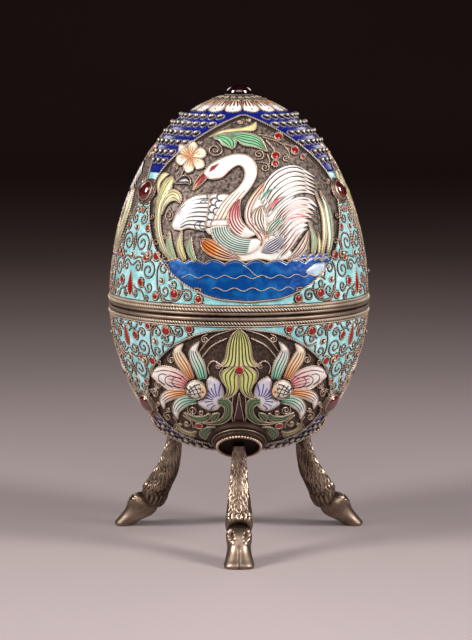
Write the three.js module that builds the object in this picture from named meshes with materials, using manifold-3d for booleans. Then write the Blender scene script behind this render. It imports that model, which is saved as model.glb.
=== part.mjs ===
// Enamelled silver egg box on three cast hoof legs. Millimetres, +Z up, front leg towards -Y.
// The egg opens at its widest line: the upper half is a lid that lifts off.

import * as THREE from 'three';
import { mergeVertices } from 'three/addons/utils/BufferGeometryUtils.js';
import Module from 'manifold-3d';

const wasm = await Module();
wasm.setup();

// ---------------------------------------------------------------- driving dimensions

// Egg outline over its raised wires: a superellipse above the widest height and another below it.
const EGG_RADIUS = 34.03;
const WIDEST_HEIGHT = 62.24;
const UPPER = { height: 55.6, zPower: 2.165, rPower: 1.913 };
const LOWER = { height: 36.9, zPower: 1.569, rPower: 3.165 };

const WIRE_HEIGHT = 0.6; // wires stand this far over the enamel ground
const WALL = 1.2; // silver and enamel together
const SEAM_HEIGHT = 63.4; // where the lid lifts off
const LID_TURN = 4.4; // degrees the lid is turned on the lower half
const COUNT = 3; // legs, collars, and stones round each half

const RIM = {
  proud: 0.2, // beyond the egg's widest radius
  lower: 2.4, // height of the lower band
  upper: 3.2, // height of the lid's band
  lipWall: 0.8,
  lipHeight: 2.6,
  lipPlay: 0.4,
  edge: 0.35, // rounding on the outer corners
};

const STONE = { radius: 2.9, girdle: 1.3, top: 2.9 };
const SETTING = { base: 4.2, mid: 3.7, height: 1.7, lipRadius: 3.3 };
const LID_STONE_HEIGHT = 94.15;
const LOWER_STONE_HEIGHT = 40.3;

const FINIAL = { base: 5.2, shoulder: 4.4, neck: 3.6, height: 1.9, stone: 2.95, top: 120.1 };

const COLLAR = {
  height: 30, // of its centre on the egg
  flange: 7.6,
  flangeTop: 0.5,
  ring: 6.45,
  ringTop: 1.4,
  lip: 5.75,
  lipTop: 2.3,
  recess: 5.2,
  floor: 0.8,
  root: -3.0, // how deep its blank starts before the egg is cut out of it
};

const SEAT_GAP = 0.3; // clearance where one piece beds on another
const STONE_PLAY = 0.05;

// Leg stations from the collar down: front and back points of the side outline as [radius, height]
// from the egg's axis, then the width across, and how deep the cleft of the hoof cuts in.
const LEG_STATIONS = [
  { front: [21.9, 28.7], back: [18.6, 27.7], width: 3.3, cleft: 0 },
  { front: [22.0, 25.4], back: [17.8, 24.0], width: 3.3, cleft: 0 },
  { front: [23.4, 21.7], back: [18.6, 19.6], width: 3.9, cleft: 0 },
  { front: [25.4, 17.9], back: [19.7, 15.4], width: 4.6, cleft: 0 },
  { front: [28.0, 14.3], back: [21.3, 11.4], width: 5.6, cleft: 0 },
  { front: [30.6, 11.9], back: [22.9, 8.5], width: 6.5, cleft: 0 },
  { front: [31.1, 10.8], back: [24.5, 7.0], width: 6.7, cleft: 0 },
  { front: [30.1, 10.1], back: [25.5, 7.0], width: 6.0, cleft: 0 },
  { front: [32.2, 10.5], back: [26.0, 6.3], width: 6.2, cleft: 0.08 },
  { front: [33.9, 8.4], back: [26.8, 4.6], width: 6.2, cleft: 0.16 },
  { front: [34.4, 6.4], back: [28.7, 3.3], width: 5.9, cleft: 0.2 },
  { front: [36.4, 3.5], back: [30.3, 1.9], width: 6.6, cleft: 0.2 },
  { front: [38.9, 1.0], back: [31.6, 0.6], width: 7.6, cleft: 0.18 },
  { front: [37.7, 0.0], back: [32.4, 0.0], width: 6.8, cleft: 0.2 },
];
const LEG_SIDES = 16;
const TOE_RADIUS = 38.9;

const EGG_SEGMENTS = 48;
const RING_SEGMENTS = 16;
const COLLAR_SEGMENTS = 24;
const OUTER_STEPS = 10;
const INNER_STEPS = 8;

// The frame's origin is under the middle of the bounding box, so the egg's axis stands behind it.
const RIM_RADIUS = EGG_RADIUS + RIM.proud;
const AXIS_Y = (TOE_RADIUS - RIM_RADIUS) / 2;

// ---------------------------------------------------------------- materials

function metal(name, color, roughness) {
  return new THREE.MeshStandardMaterial({ name, color, roughness, metalness: 1 });
}

function enamel(name, color) {
  return new THREE.MeshStandardMaterial({ name, color, roughness: 0.25, metalness: 0 });
}

const silver = metal('silver', 0x8f857a, 0.38);
const castSilver = metal('cast_silver', 0x8a7e72, 0.42);
const lidEnamel = enamel('lid_enamel', 0x3f9fb4);
const lowerEnamel = enamel('lower_enamel', 0x4aa7ae);
const garnet = new THREE.MeshStandardMaterial({
  name: 'garnet', color: 0x4a0d14, roughness: 0.08, metalness: 0,
});

// ---------------------------------------------------------------- egg outline

// Point of the outline at an angle: -90 degrees is the bottom pole, 0 the widest line, 90 the top.
function outlinePoint(angle) {
  const half = angle < 0 ? LOWER : UPPER;
  const rise = Math.abs(Math.sin(angle)) ** (2 / half.zPower) * Math.sign(angle);
  const r = EGG_RADIUS * Math.max(Math.cos(angle), 0) ** (2 / half.rPower);
  return new THREE.Vector2(r, WIDEST_HEIGHT + half.height * rise);
}

function outlineAngle(height) {
  const half = height < WIDEST_HEIGHT ? LOWER : UPPER;
  const rise = Math.abs(height - WIDEST_HEIGHT) / half.height;
  return Math.asin(rise ** (half.zPower / 2)) * Math.sign(height - WIDEST_HEIGHT);
}

// Outward normal of the outline, found from two points close to each other.
function outlineNormal(angle) {
  const step = 1e-3;
  const limit = Math.PI / 2;
  const low = outlinePoint(Math.max(angle - step, -limit));
  const high = outlinePoint(Math.min(angle + step, limit));
  const along = high.sub(low).normalize();
  return new THREE.Vector2(along.y, -along.x);
}

// Outline moved inwards by a depth, so that a wall keeps its thickness round the curve.
function insetPoint(angle, depth) {
  const point = outlinePoint(angle);
  if (Math.abs(angle) > Math.PI / 2 - 1e-6) {
    return new THREE.Vector2(0, point.y - Math.sign(angle) * depth);
  }
  return point.addScaledVector(outlineNormal(angle), -depth);
}

function insetCurve(from, to, depth, steps) {
  const points = [];
  for (let i = 0; i <= steps; i += 1) {
    points.push(insetPoint(from + ((to - from) * i) / steps, depth));
  }
  return points;
}

// ---------------------------------------------------------------- solids

function lathe(profile, segments) {
  const geometry = new THREE.LatheGeometry(profile, segments);
  return geometry.rotateX(Math.PI / 2);
}

function ring(points) {
  return [...points, points[0]].map(([r, z]) => new THREE.Vector2(r, z));
}

// Cup or lid: up the outside from the pole to the mouth and back down the inside to the pole.
function shell(poleAngle, mouthHeight) {
  const mouth = outlineAngle(mouthHeight);
  const outer = insetCurve(poleAngle, mouth, WIRE_HEIGHT, OUTER_STEPS);
  const inner = insetCurve(mouth, poleAngle, WIRE_HEIGHT + WALL, INNER_STEPS);
  outer[outer.length - 1].y = mouthHeight;
  inner[0].y = mouthHeight;
  const profile = [...outer, ...inner];
  if (poleAngle > 0) {
    profile.reverse();
  }
  return lathe(profile, EGG_SEGMENTS);
}

function innerRadius(height) {
  return insetPoint(outlineAngle(height), WIRE_HEIGHT + WALL).x;
}

function lowerRim() {
  const bottom = SEAM_HEIGHT - RIM.lower;
  const lipOut = innerRadius(SEAM_HEIGHT + RIM.lipHeight) - RIM.lipPlay;
  const lipIn = lipOut - RIM.lipWall;
  const edge = RIM.edge;
  const lipTop = SEAM_HEIGHT + RIM.lipHeight;
  return lathe(ring([
    [lipIn, bottom],
    [RIM_RADIUS - edge, bottom],
    [RIM_RADIUS, bottom + edge],
    [RIM_RADIUS, SEAM_HEIGHT - edge],
    [RIM_RADIUS - edge, SEAM_HEIGHT],
    [lipOut, SEAM_HEIGHT],
    [lipOut, lipTop - edge],
    [lipOut - edge, lipTop],
    [lipIn, lipTop],
  ]), EGG_SEGMENTS);
}

function lidRim() {
  const top = SEAM_HEIGHT + RIM.upper;
  const inside = innerRadius(top);
  const edge = RIM.edge;
  return lathe(ring([
    [inside, SEAM_HEIGHT],
    [RIM_RADIUS - edge, SEAM_HEIGHT],
    [RIM_RADIUS, SEAM_HEIGHT + edge],
    [RIM_RADIUS - edge / 2, top - edge],
    [RIM_RADIUS - edge, top],
    [inside, top],
  ]), EGG_SEGMENTS);
}

// Bezel round a stone: flared foot, waist, and a lip that closes on the stone.
function setting() {
  const bore = STONE.radius + STONE_PLAY;
  return lathe(ring([
    [bore, 0],
    [SETTING.base, 0],
    [SETTING.base, 0.5 * SETTING.height],
    [SETTING.mid, 0.6 * SETTING.height],
    [SETTING.lipRadius, SETTING.height],
    [bore, SETTING.height],
  ]), RING_SEGMENTS);
}

// Cabochon: straight girdle under a quarter-ellipse dome.
function cabochon(radius, girdle, top) {
  const steps = 3;
  const profile = [new THREE.Vector2(0, 0), new THREE.Vector2(radius, 0)];
  for (let i = 0; i <= steps; i += 1) {
    const a = (i / steps) * (Math.PI / 2);
    const r = i === steps ? 0 : radius * Math.cos(a);
    profile.push(new THREE.Vector2(r, girdle + (top - girdle) * Math.sin(a)));
  }
  return lathe(profile, RING_SEGMENTS);
}

function groundHeightNearTop(radius) {
  const step = 0.02;
  let angle = Math.PI / 2 - step / 10;
  while (insetPoint(angle, WIRE_HEIGHT).x < radius) {
    angle -= step;
  }
  return insetPoint(angle, WIRE_HEIGHT).y;
}

// Filigree collar on the lid's pole. Its underside follows the dome.
function finialSetting() {
  const bore = FINIAL.stone + STONE_PLAY;
  const foot = groundHeightNearTop(FINIAL.base);
  const crown = groundHeightNearTop(bore);
  return lathe(ring([
    [bore, crown + SEAT_GAP],
    [FINIAL.base, foot + SEAT_GAP],
    [FINIAL.base, foot + 0.45 * FINIAL.height],
    [FINIAL.shoulder, foot + 0.8 * FINIAL.height],
    [FINIAL.neck, crown + FINIAL.height],
    [bore, crown + FINIAL.height],
  ]), RING_SEGMENTS);
}

function finialStone() {
  const seat = insetPoint(Math.PI / 2, WIRE_HEIGHT).y + SEAT_GAP / 3;
  const height = FINIAL.top - seat;
  const geometry = cabochon(FINIAL.stone, 0.3 * height, height);
  return geometry.translate(0, 0, seat);
}

// ---------------------------------------------------------------- collars, cut to the egg

function toManifold(geometry) {
  const bare = geometry.clone();
  bare.deleteAttribute('normal');
  bare.deleteAttribute('uv');
  const merged = mergeVertices(bare, 1e-4);
  return new wasm.Manifold(new wasm.Mesh({
    numProp: 3,
    vertProperties: new Float32Array(merged.attributes.position.array),
    triVerts: new Uint32Array(merged.index.array),
  }));
}

function toGeometry(manifold) {
  const mesh = manifold.getMesh();
  const geometry = new THREE.BufferGeometry();
  geometry.setAttribute('position', new THREE.BufferAttribute(mesh.vertProperties, 3));
  geometry.setIndex(new THREE.BufferAttribute(mesh.triVerts, 1));
  geometry.computeVertexNormals();
  return geometry;
}

// Frame standing on the egg's front line at a height: +Z along the outward normal.
function seatOnEgg(height, lift) {
  const angle = outlineAngle(height);
  const normal = outlineNormal(angle);
  const point = outlinePoint(angle).addScaledVector(normal, lift);
  const frame = new THREE.Matrix4().makeRotationX(Math.atan2(normal.x, normal.y));
  frame.setPosition(0, -point.x, point.y);
  return frame;
}

function collar() {
  const blank = lathe(ring([
    [0, COLLAR.root],
    [COLLAR.flange, COLLAR.root],
    [COLLAR.flange, COLLAR.flangeTop],
    [COLLAR.ring, COLLAR.flangeTop],
    [COLLAR.ring, COLLAR.ringTop],
    [COLLAR.lip, COLLAR.ringTop],
    [COLLAR.lip, COLLAR.lipTop],
    [COLLAR.recess, COLLAR.lipTop],
    [COLLAR.recess, COLLAR.floor],
    [0, COLLAR.floor],
  ]).slice(0, -1), COLLAR_SEGMENTS);
  blank.applyMatrix4(seatOnEgg(COLLAR.height, 0));
  const bottom = insetCurve(-Math.PI / 2, 0, WIRE_HEIGHT - SEAT_GAP, OUTER_STEPS);
  const egg = lathe([...bottom, new THREE.Vector2(0, WIDEST_HEIGHT)], EGG_SEGMENTS);
  return toGeometry(toManifold(blank).subtract(toManifold(egg)));
}

// ---------------------------------------------------------------- legs

// One ring of leg points: an ellipse between the front and back points, with the cleft cut into
// its front and, half as deep, into its back.
function legRing(station) {
  const points = [];
  const [rf, zf] = station.front;
  const [rb, zb] = station.back;
  for (let i = 0; i < LEG_SIDES; i += 1) {
    const a = (2 * Math.PI * i) / LEG_SIDES;
    const along = Math.cos(a);
    const frontCut = i === 0 ? station.cleft : 0;
    const backCut = i === LEG_SIDES / 2 ? station.cleft / 2 : 0;
    const share = (1 + along * (1 - 2 * frontCut - 2 * backCut)) / 2;
    const r = rb + (rf - rb) * share;
    const z = zb + (zf - zb) * share;
    points.push(new THREE.Vector3((Math.sin(a) * station.width) / 2, -r, z));
  }
  return points;
}

function centreOf(points) {
  const sum = new THREE.Vector3();
  points.forEach((point) => sum.add(point));
  return sum.divideScalar(points.length);
}

function leg() {
  const rings = LEG_STATIONS.map(legRing);
  const vertices = rings.flat();
  const index = [];
  for (let k = 0; k < rings.length - 1; k += 1) {
    for (let i = 0; i < LEG_SIDES; i += 1) {
      const j = (i + 1) % LEG_SIDES;
      const a = k * LEG_SIDES + i;
      const b = k * LEG_SIDES + j;
      index.push(a, a + LEG_SIDES, b, b, a + LEG_SIDES, b + LEG_SIDES);
    }
  }
  const top = vertices.push(centreOf(rings[0])) - 1;
  const sole = vertices.push(centreOf(rings.at(-1))) - 1;
  const last = (rings.length - 1) * LEG_SIDES;
  for (let i = 0; i < LEG_SIDES; i += 1) {
    const j = (i + 1) % LEG_SIDES;
    index.push(top, i, j);
    index.push(sole, last + j, last + i);
  }
  const geometry = new THREE.BufferGeometry().setFromPoints(vertices);
  geometry.setIndex(index);
  geometry.computeVertexNormals();
  return geometry;
}

// ---------------------------------------------------------------- assembly

function piece(name, geometry, material) {
  const mesh = new THREE.Mesh(geometry, material);
  mesh.name = name;
  return mesh;
}

// Group turned about the egg's axis: 0 degrees faces the front, positive turns towards +X.
function turned(degrees, ...children) {
  const group = new THREE.Group();
  group.rotation.z = THREE.MathUtils.degToRad(degrees);
  group.add(...children);
  return group;
}

function seated(height, lift, ...children) {
  const group = new THREE.Group();
  group.applyMatrix4(seatOnEgg(height, lift));
  group.add(...children);
  return group;
}

function stoneAt(prefix, number, height) {
  const lift = STONE_PLAY - WIRE_HEIGHT;
  return seated(
    height,
    lift,
    piece(`${prefix}_setting_${number}`, setting(), silver),
    piece(`${prefix}_stone_${number}`, cabochon(STONE.radius, STONE.girdle, STONE.top), garnet),
  );
}

const egg = new THREE.Group();
egg.position.y = AXIS_Y;

const lid = turned(
  LID_TURN,
  piece('lid', shell(Math.PI / 2, SEAM_HEIGHT + RIM.upper), lidEnamel),
  piece('lid_rim', lidRim(), silver),
  piece('finial_setting', finialSetting(), silver),
  piece('finial_stone', finialStone(), garnet),
);
egg.add(lid);
egg.add(piece('lower_half', shell(-Math.PI / 2, SEAM_HEIGHT - RIM.lower), lowerEnamel));
egg.add(piece('lower_rim', lowerRim(), silver));

for (let i = 0; i < COUNT; i += 1) {
  const legAngle = (360 / COUNT) * i;
  const stoneAngle = legAngle + 180 / COUNT;
  const number = i + 1;
  egg.add(turned(
    legAngle,
    piece(`collar_${number}`, collar(), silver),
    piece(`leg_${number}`, leg(), castSilver),
  ));
  egg.add(turned(stoneAngle, stoneAt('lower', number, LOWER_STONE_HEIGHT)));
  lid.add(turned(stoneAngle, stoneAt('lid', number, LID_STONE_HEIGHT)));
}

const model = new THREE.Group();
model.name = 'enamel_egg_on_stand';
model.add(egg);

export default model;
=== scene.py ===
"""Enamelled silver egg box on three cast hoof legs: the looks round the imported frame.

The egg is drawn in a flat chart laid round its outline. In the chart, u runs to the right along
the surface from a panel's middle line, v runs up along the outline from the seam, and h stands
out from the silver ground, all in millimetres. A point goes from the chart onto the egg through
on_egg. Ornament is a Relief: grids of points that are gathered, repeated round the axis and
made into one mesh.
"""

import math
from types import SimpleNamespace

import bpy
import numpy as np
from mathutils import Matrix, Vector
from bpy.props import FloatProperty, FloatVectorProperty, IntProperty, PointerProperty


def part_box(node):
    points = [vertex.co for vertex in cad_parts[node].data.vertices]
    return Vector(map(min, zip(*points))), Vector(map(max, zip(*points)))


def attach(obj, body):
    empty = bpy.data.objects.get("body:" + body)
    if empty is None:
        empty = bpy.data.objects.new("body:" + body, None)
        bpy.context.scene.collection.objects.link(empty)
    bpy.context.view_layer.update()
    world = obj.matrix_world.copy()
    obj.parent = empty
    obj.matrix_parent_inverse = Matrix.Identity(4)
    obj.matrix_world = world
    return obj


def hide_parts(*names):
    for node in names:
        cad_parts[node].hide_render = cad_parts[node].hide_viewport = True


bl_info = {
    "name": "Enamel egg on stand",
    "version": (1, 0, 0),
    "blender": (4, 5, 0),
    "location": "View3D > Sidebar > Egg",
    "description": "Builds an enamelled silver egg box with its filigree, panels, stones and hoof legs",
    "category": "Object",
}

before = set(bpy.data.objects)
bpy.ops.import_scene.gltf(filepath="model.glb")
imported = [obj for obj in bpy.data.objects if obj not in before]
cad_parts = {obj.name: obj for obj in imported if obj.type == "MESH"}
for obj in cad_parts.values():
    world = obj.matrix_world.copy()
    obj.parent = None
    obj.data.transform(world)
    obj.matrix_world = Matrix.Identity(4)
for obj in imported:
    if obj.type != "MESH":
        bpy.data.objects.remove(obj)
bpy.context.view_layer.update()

# ---- sizes from the frame

MM = 0.001
SECTORS = 3
SECTOR = 360 / SECTORS


def box_mm(node):
    """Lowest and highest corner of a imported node, in millimetres."""
    low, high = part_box(node)
    return np.array(low) / MM, np.array(high) / MM


RIM_LOW, RIM_HIGH = box_mm("lower_rim")
SEAM_Z = box_mm("lid_rim")[0][2]
LID_RIM_TOP = box_mm("lid_rim")[1][2]
AXIS_Y = (RIM_LOW[1] + RIM_HIGH[1]) / 2
RIM_RADIUS = (RIM_HIGH[0] - RIM_LOW[0]) / 2
LID_TURN = 4.4  # degrees the lid is turned on the lower half

WIRE = 0.6  # height of the wires over the silver ground
ENAMEL = 0.3  # height of the enamel grounds
WALL = 1.2  # thickness of sheet and enamel together
POLE = 0.02  # radius of the small ring that closes a pole
EGG_RADIUS = RIM_RADIUS - 0.2
WIDEST_Z = SEAM_Z - 1.16
UPPER = {"height": box_mm("lid")[1][2] + WIRE - WIDEST_Z, "z_power": 2.165, "r_power": 1.913}
LOWER = {"height": WIDEST_Z + WIRE - box_mm("lower_half")[0][2], "z_power": 1.569, "r_power": 3.165}


def outline_table():
    """Egg outline from pole to pole as rows of v, radius, height and outward normal.

    Above and below the widest line it is a superellipse: height H sin(a)^(2/p) from that line
    and radius R cos(a)^(2/q), with a from 0 to 90 degrees. v is arc length counted from the seam.
    """
    a = np.linspace(0, math.pi / 2, 3000)
    halves = []
    for side, half in ((-1, LOWER), (1, UPPER)):
        z = WIDEST_Z + side * half["height"] * np.sin(a) ** (2 / half["z_power"])
        r = EGG_RADIUS * np.maximum(np.cos(a), 0) ** (2 / half["r_power"])
        halves.append(np.stack([r, z])[:, ::side])
    r, z = np.concatenate([halves[0], halves[1][:, 1:]], axis=1)
    s = np.concatenate([[0], np.cumsum(np.hypot(np.diff(r), np.diff(z)))])
    even_s = np.linspace(0, s[-1], 4000)
    r, z = np.interp(even_s, s, r), np.interp(even_s, s, z)
    dr, dz = np.gradient(r), np.gradient(z)
    step = np.hypot(dr, dz)
    v = even_s - np.interp(SEAM_Z, z, even_s)
    return v, r, z, dz / step, -dr / step


TABLE_V, TABLE_R, TABLE_Z, TABLE_NR, TABLE_NZ = outline_table()
BOTTOM_V = TABLE_V[0]
TOP_V = TABLE_V[-1]


def radius_at(v):
    """Radius of the outline at v."""
    return np.interp(v, TABLE_V, TABLE_R)


def v_at_height(z):
    """v of the outline point at a height."""
    return float(np.interp(z, TABLE_Z, TABLE_V))


def half_sector(v):
    """Half the width of a panel's sector at v, along the surface."""
    return radius_at(v) * math.radians(SECTOR / 2)


def section_point(v, h):
    """Radius and height of a point h over the silver ground at v, in a plane through the axis."""
    lift = h - WIRE
    r = radius_at(v) + np.interp(v, TABLE_V, TABLE_NR) * lift
    z = np.interp(v, TABLE_V, TABLE_Z) + np.interp(v, TABLE_V, TABLE_NZ) * lift
    return r, z


def on_egg(u, v, h):
    """Chart to space: the angle round the axis is u over the outline's radius at v."""
    r, z = section_point(v, h)
    angle = u / np.maximum(radius_at(v), 0.5)
    return np.stack([r * np.sin(angle), -r * np.cos(angle), z], axis=-1)


# ---- curves in the chart


def smooth_step(x, low, high):
    """0 below low, 1 above high, and a smooth cubic between."""
    t = np.clip((x - low) / (high - low), 0, 1)
    return t * t * (3 - 2 * t)


def even(path, count):
    """The same path with count points at even distances."""
    steps = np.linalg.norm(np.diff(path[:, :2], axis=0), axis=1)
    s = np.concatenate([[0], np.cumsum(steps)])
    t = np.linspace(0, s[-1], count)
    return np.stack([np.interp(t, s, column) for column in path.T], axis=-1)


def spline(points, count):
    """Catmull-Rom curve through points, count samples at even distances. Further columns, such
    as a half width, are carried along with it."""
    p = np.array(points, float)
    p = np.vstack([2 * p[0] - p[1], p, 2 * p[-1] - p[-2]])
    spans = len(p) - 3
    t = np.linspace(0, spans, 20 * spans + 1)
    i = np.minimum(t.astype(int), spans - 1)
    f = (t - i)[:, None]
    a, b, c, d = p[i], p[i + 1], p[i + 2], p[i + 3]
    curve = b + f * (c - a) / 2 + f**2 * (a - 2.5 * b + 2 * c - d / 2)
    curve += f**3 * (1.5 * b - a / 2 - 1.5 * c + d / 2)
    return even(curve, count)


def around(count):
    """Evenly spaced angles round a full circle."""
    return 2 * math.pi * np.arange(count) / count


def rotation(turn):
    """Matrix that turns rows of points about +Z by a turn in degrees."""
    c, s = math.cos(math.radians(turn)), math.sin(math.radians(turn))
    return np.array([[c, s, 0], [-s, c, 0], [0, 0, 1]])


def path_length(path):
    """Length of a path in the chart."""
    return float(np.linalg.norm(np.diff(path[..., :2], axis=-2), axis=-1).sum(axis=-1).max())


def left_normal(path, closed=False):
    """Unit vectors in the chart, a quarter turn to the left of the path's direction."""
    if closed:
        d = np.roll(path, -1, axis=-2) - np.roll(path, 1, axis=-2)
    else:
        d = np.gradient(path, axis=-2)
    d = d[..., :2] / np.maximum(np.linalg.norm(d[..., :2], axis=-1, keepdims=True), 1e-9)
    return np.stack([-d[..., 1], d[..., 0]], axis=-1)


def circle(u, v, radius, count=16):
    """Closed circular path, counter-clockwise. u, v and radius may be arrays of many circles."""
    u, v, radius = (np.asarray(x, float)[..., None] for x in (u, v, radius))
    a = around(count)
    return np.stack([u + radius * np.cos(a), v + radius * np.sin(a)], axis=-1)


def scroll(u, v, radius, start, turns=1.6, hand=1, tail=0.0):
    """Spiral path that starts near its centre and opens evenly: after t of its turns its distance
    is radius times (0.14 + 0.86 t). It leaves by a tail that is tail radii long and bends the
    other way on an arc of 1.8 radii."""
    count = int(12 * turns) + 4
    t = np.linspace(0, 1, count)
    a = math.radians(start) + hand * 2 * math.pi * turns * (t - 1)
    rho = radius * (0.14 + 0.86 * t)
    path = np.stack([u + rho * np.cos(a), v + rho * np.sin(a)], axis=-1)
    if tail:
        step = radius * tail / 5
        bend = hand * step / (1.8 * radius) * np.arange(1, 6)
        heading = math.atan2(*(path[-1] - path[-2])[::-1]) - bend
        leaving = step * np.stack([np.cos(heading), np.sin(heading)], axis=-1)
        path = np.vstack([path, path[-1] + np.cumsum(leaving, axis=0)])
    return path


def flip(points, side):
    """Points with u mirrored when side is -1."""
    p = np.array(points, float)
    p[..., 0] *= side
    return p


# ---- reliefs


PLAIN_STRAND = 0.25  # strand value at which no twist shows


class Relief:
    """Closed grids gathered into one mesh, in millimetres from the egg's axis.

    A grid has the shape (..., rows, ring, 3): each row is a closed ring of points, ordered
    counter-clockwise about the direction in which the rows advance, so its faces point outwards.
    """

    def __init__(self):
        self.points = []
        self.quads = []
        self.caps = []
        self.values = {}
        self.count = 0

    def add(self, grid, loop=False, **values):
        """Adds grids, closed by a face at both ends, or end to end when loop is set."""
        rows, ring = grid.shape[-3:-1]
        grid = grid.reshape(-1, rows, ring, 3)
        index = self.count + np.arange(grid[..., 0].size).reshape(grid.shape[:-1])
        following = np.roll(index, -1, axis=1) if loop else index[:, 1:]
        current = index if loop else index[:, :-1]
        quad = [current, np.roll(current, -1, 2), np.roll(following, -1, 2), following]
        self.quads.append(np.stack(quad, axis=-1).reshape(-1, 4))
        if not loop:
            self.caps.extend(index[:, 0, ::-1].tolist())
            self.caps.extend(index[:, -1].tolist())
        self.points.append(grid.reshape(-1, 3))
        self.count += index.size
        for name, value in values.items():
            width = 3 if name == "tint" else 1
            shape = index.shape + (3,) if width == 3 else index.shape
            spread = np.broadcast_to(np.asarray(value, float), shape).reshape(-1, width)
            self.values.setdefault(name, []).append(spread)

    def metal(self, grid, wear, loop=False, strand=PLAIN_STRAND):
        """Adds silver grids with their wear, which also carries painted shade and highlights."""
        self.add(grid, loop, wear=wear, strand=strand)

    def make(self, name, material, slot, turns=(0,), replaces=()):
        """The piece, with a copy of the grids for each turn in degrees about the axis. It rides on
        the egg, with its material, in place of the CAD nodes that it replaces. The slot is not used."""
        points = np.concatenate(self.points)
        quads = np.concatenate(self.quads)
        copies = [points @ rotation(turn) for turn in turns]
        offsets = np.arange(len(turns)) * self.count
        faces = (quads[None] + offsets[:, None, None]).reshape(-1, 4).tolist()
        smooth = [True] * len(faces)
        for offset in offsets:
            faces.extend([[i + int(offset) for i in cap] for cap in self.caps])
        smooth += [False] * (len(faces) - len(smooth))
        points = (np.concatenate(copies) + (0, AXIS_Y, 0)) * MM
        mesh = bpy.data.meshes.new(name)
        mesh.from_pydata(points, [], faces)
        mesh.polygons.foreach_set("use_smooth", smooth)
        for key, parts in self.values.items():
            data = np.tile(np.concatenate(parts), (len(turns), 1))
            if key == "tint":
                data = np.hstack([data, np.ones((len(data), 1))])
            kind, channel = ("FLOAT_COLOR", "color") if key == "tint" else ("FLOAT", "value")
            layer = mesh.attributes.new(key, kind, "POINT")
            layer.data.foreach_set(channel, data.astype(np.float32).ravel())
        mesh.materials.append(material)
        mesh.update()
        piece = bpy.data.objects.new(name, mesh)
        bpy.context.scene.collection.objects.link(piece)
        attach(piece, "root")
        if replaces:
            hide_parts(*replaces)
        return piece


def sweep(path, across, height, closed=False):
    """A ring of offsets carried along a path: across to its left and height over the ground."""
    n = left_normal(path, closed)
    u = path[..., 0, None] + n[..., 0, None] * across
    v = path[..., 1, None] + n[..., 1, None] * across
    return on_egg(u, v, height)


STRAND_PITCH = 0.7  # length along a wire in which its twist repeats
WIRE_ACROSS = np.array([1, 0, 0, 0, 0, -1])  # where the foot's width counts in a wire's section
WIRE_SIDE = np.array([1, 1, 0.55, -0.55, -1, -1])  # shares of the wire's own half width
# Wear across a wire's section: 0 on the strips at its foot, which paint shade with tarnish, and 1 on its
# worn ridge.
WIRE_WEAR_AND_SHADE = np.array([0, 0.25, 1, 1, 0.25, 0])
FOOT = 0.26  # dark strip beside a wire: painted shade along its foot, with tarnish


def wire(relief, path, half, top=WIRE, closed=False, ground=0.0, worn=1.0, foot=FOOT):
    """Wire on edge between dark strips that paint its shade on the ground, with tarnish: its section
    rises from the strip's edge, just under the ground, to the wire, goes over its flat-topped ridge
    and down again. The strand value counts twists along the wire, and its wear value is 0 at its
    foot, where shade is painted, and worn on its ridge."""
    path = path[..., :2]
    across = WIRE_SIDE * half + WIRE_ACROSS * foot
    height = np.array([ground - 0.05, ground + 0.12, top, top, ground + 0.12, ground - 0.05])
    steps = np.linalg.norm(np.diff(path, axis=-2), axis=-1)
    s = np.concatenate([np.zeros(steps.shape[:-1] + (1,)), np.cumsum(steps, axis=-1)], axis=-1)
    shape = path.shape[:-1] + (6,)
    grid = sweep(path, np.broadcast_to(across, shape), np.broadcast_to(height, shape), closed)
    wear = np.broadcast_to(worn * WIRE_WEAR_AND_SHADE, shape).reshape(-1, *shape[-2:])
    strand = (s[..., None] / STRAND_PITCH + WIRE_SIDE / 2).reshape(-1, *shape[-2:])
    relief.metal(grid, wear, closed, strand)


def rope_section(rows, sides):
    """Section of two strands twisted together, turned on by an eighth of a turn from row to row: its
    angles, its radius as a share, 0.88 + 0.22 cos 2(a - turn), and its wear, which is 1 where a
    strand crosses the ridge and 0 in the valley beside it."""
    a = around(sides) - math.pi / 2
    lobe = np.cos(2 * (a - np.arange(rows)[:, None] * math.pi / 4))
    return a, 0.88 + 0.22 * lobe, smooth_step(lobe, -0.35, 0.75)


def rope(relief, loop, radius, pitch, lift):
    """Twisted wire round a closed path, turned by half a turn in each pitch and duller underneath."""
    rows = 4 * int(round(path_length(loop) / pitch))
    path = even(np.vstack([loop, loop[:1]]), rows + 1)[:-1]
    a, share, wear = rope_section(rows, 6)
    reach = radius * share
    grid = sweep(path, reach * np.cos(a), lift + reach * np.sin(a), closed=True)
    relief.metal(grid, wear * (0.75 + 0.25 * np.sin(a)), loop=True)


def ramp(colours, count):
    """Colours at count steps from the first of the list to the last."""
    colours = np.array(colours, float).reshape(-1, 3)
    stops = np.linspace(0, 1, len(colours))
    t = np.linspace(0, 1, count)
    return np.stack([np.interp(t, stops, column) for column in colours.T], axis=-1)


JOINT_AND_SHADE_TINT = (0.03, 0.02, 0.016)  # dark line where enamel meets its wire: a dark joint, with the wire's shade painted on the enamel
CELL_FOOT = -0.15  # height of a cell's hidden edge, under the wires
NARROWEST = 0.015  # least half width of a cell
DOMED = 0.7  # half width from which a cell is domed in full


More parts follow.
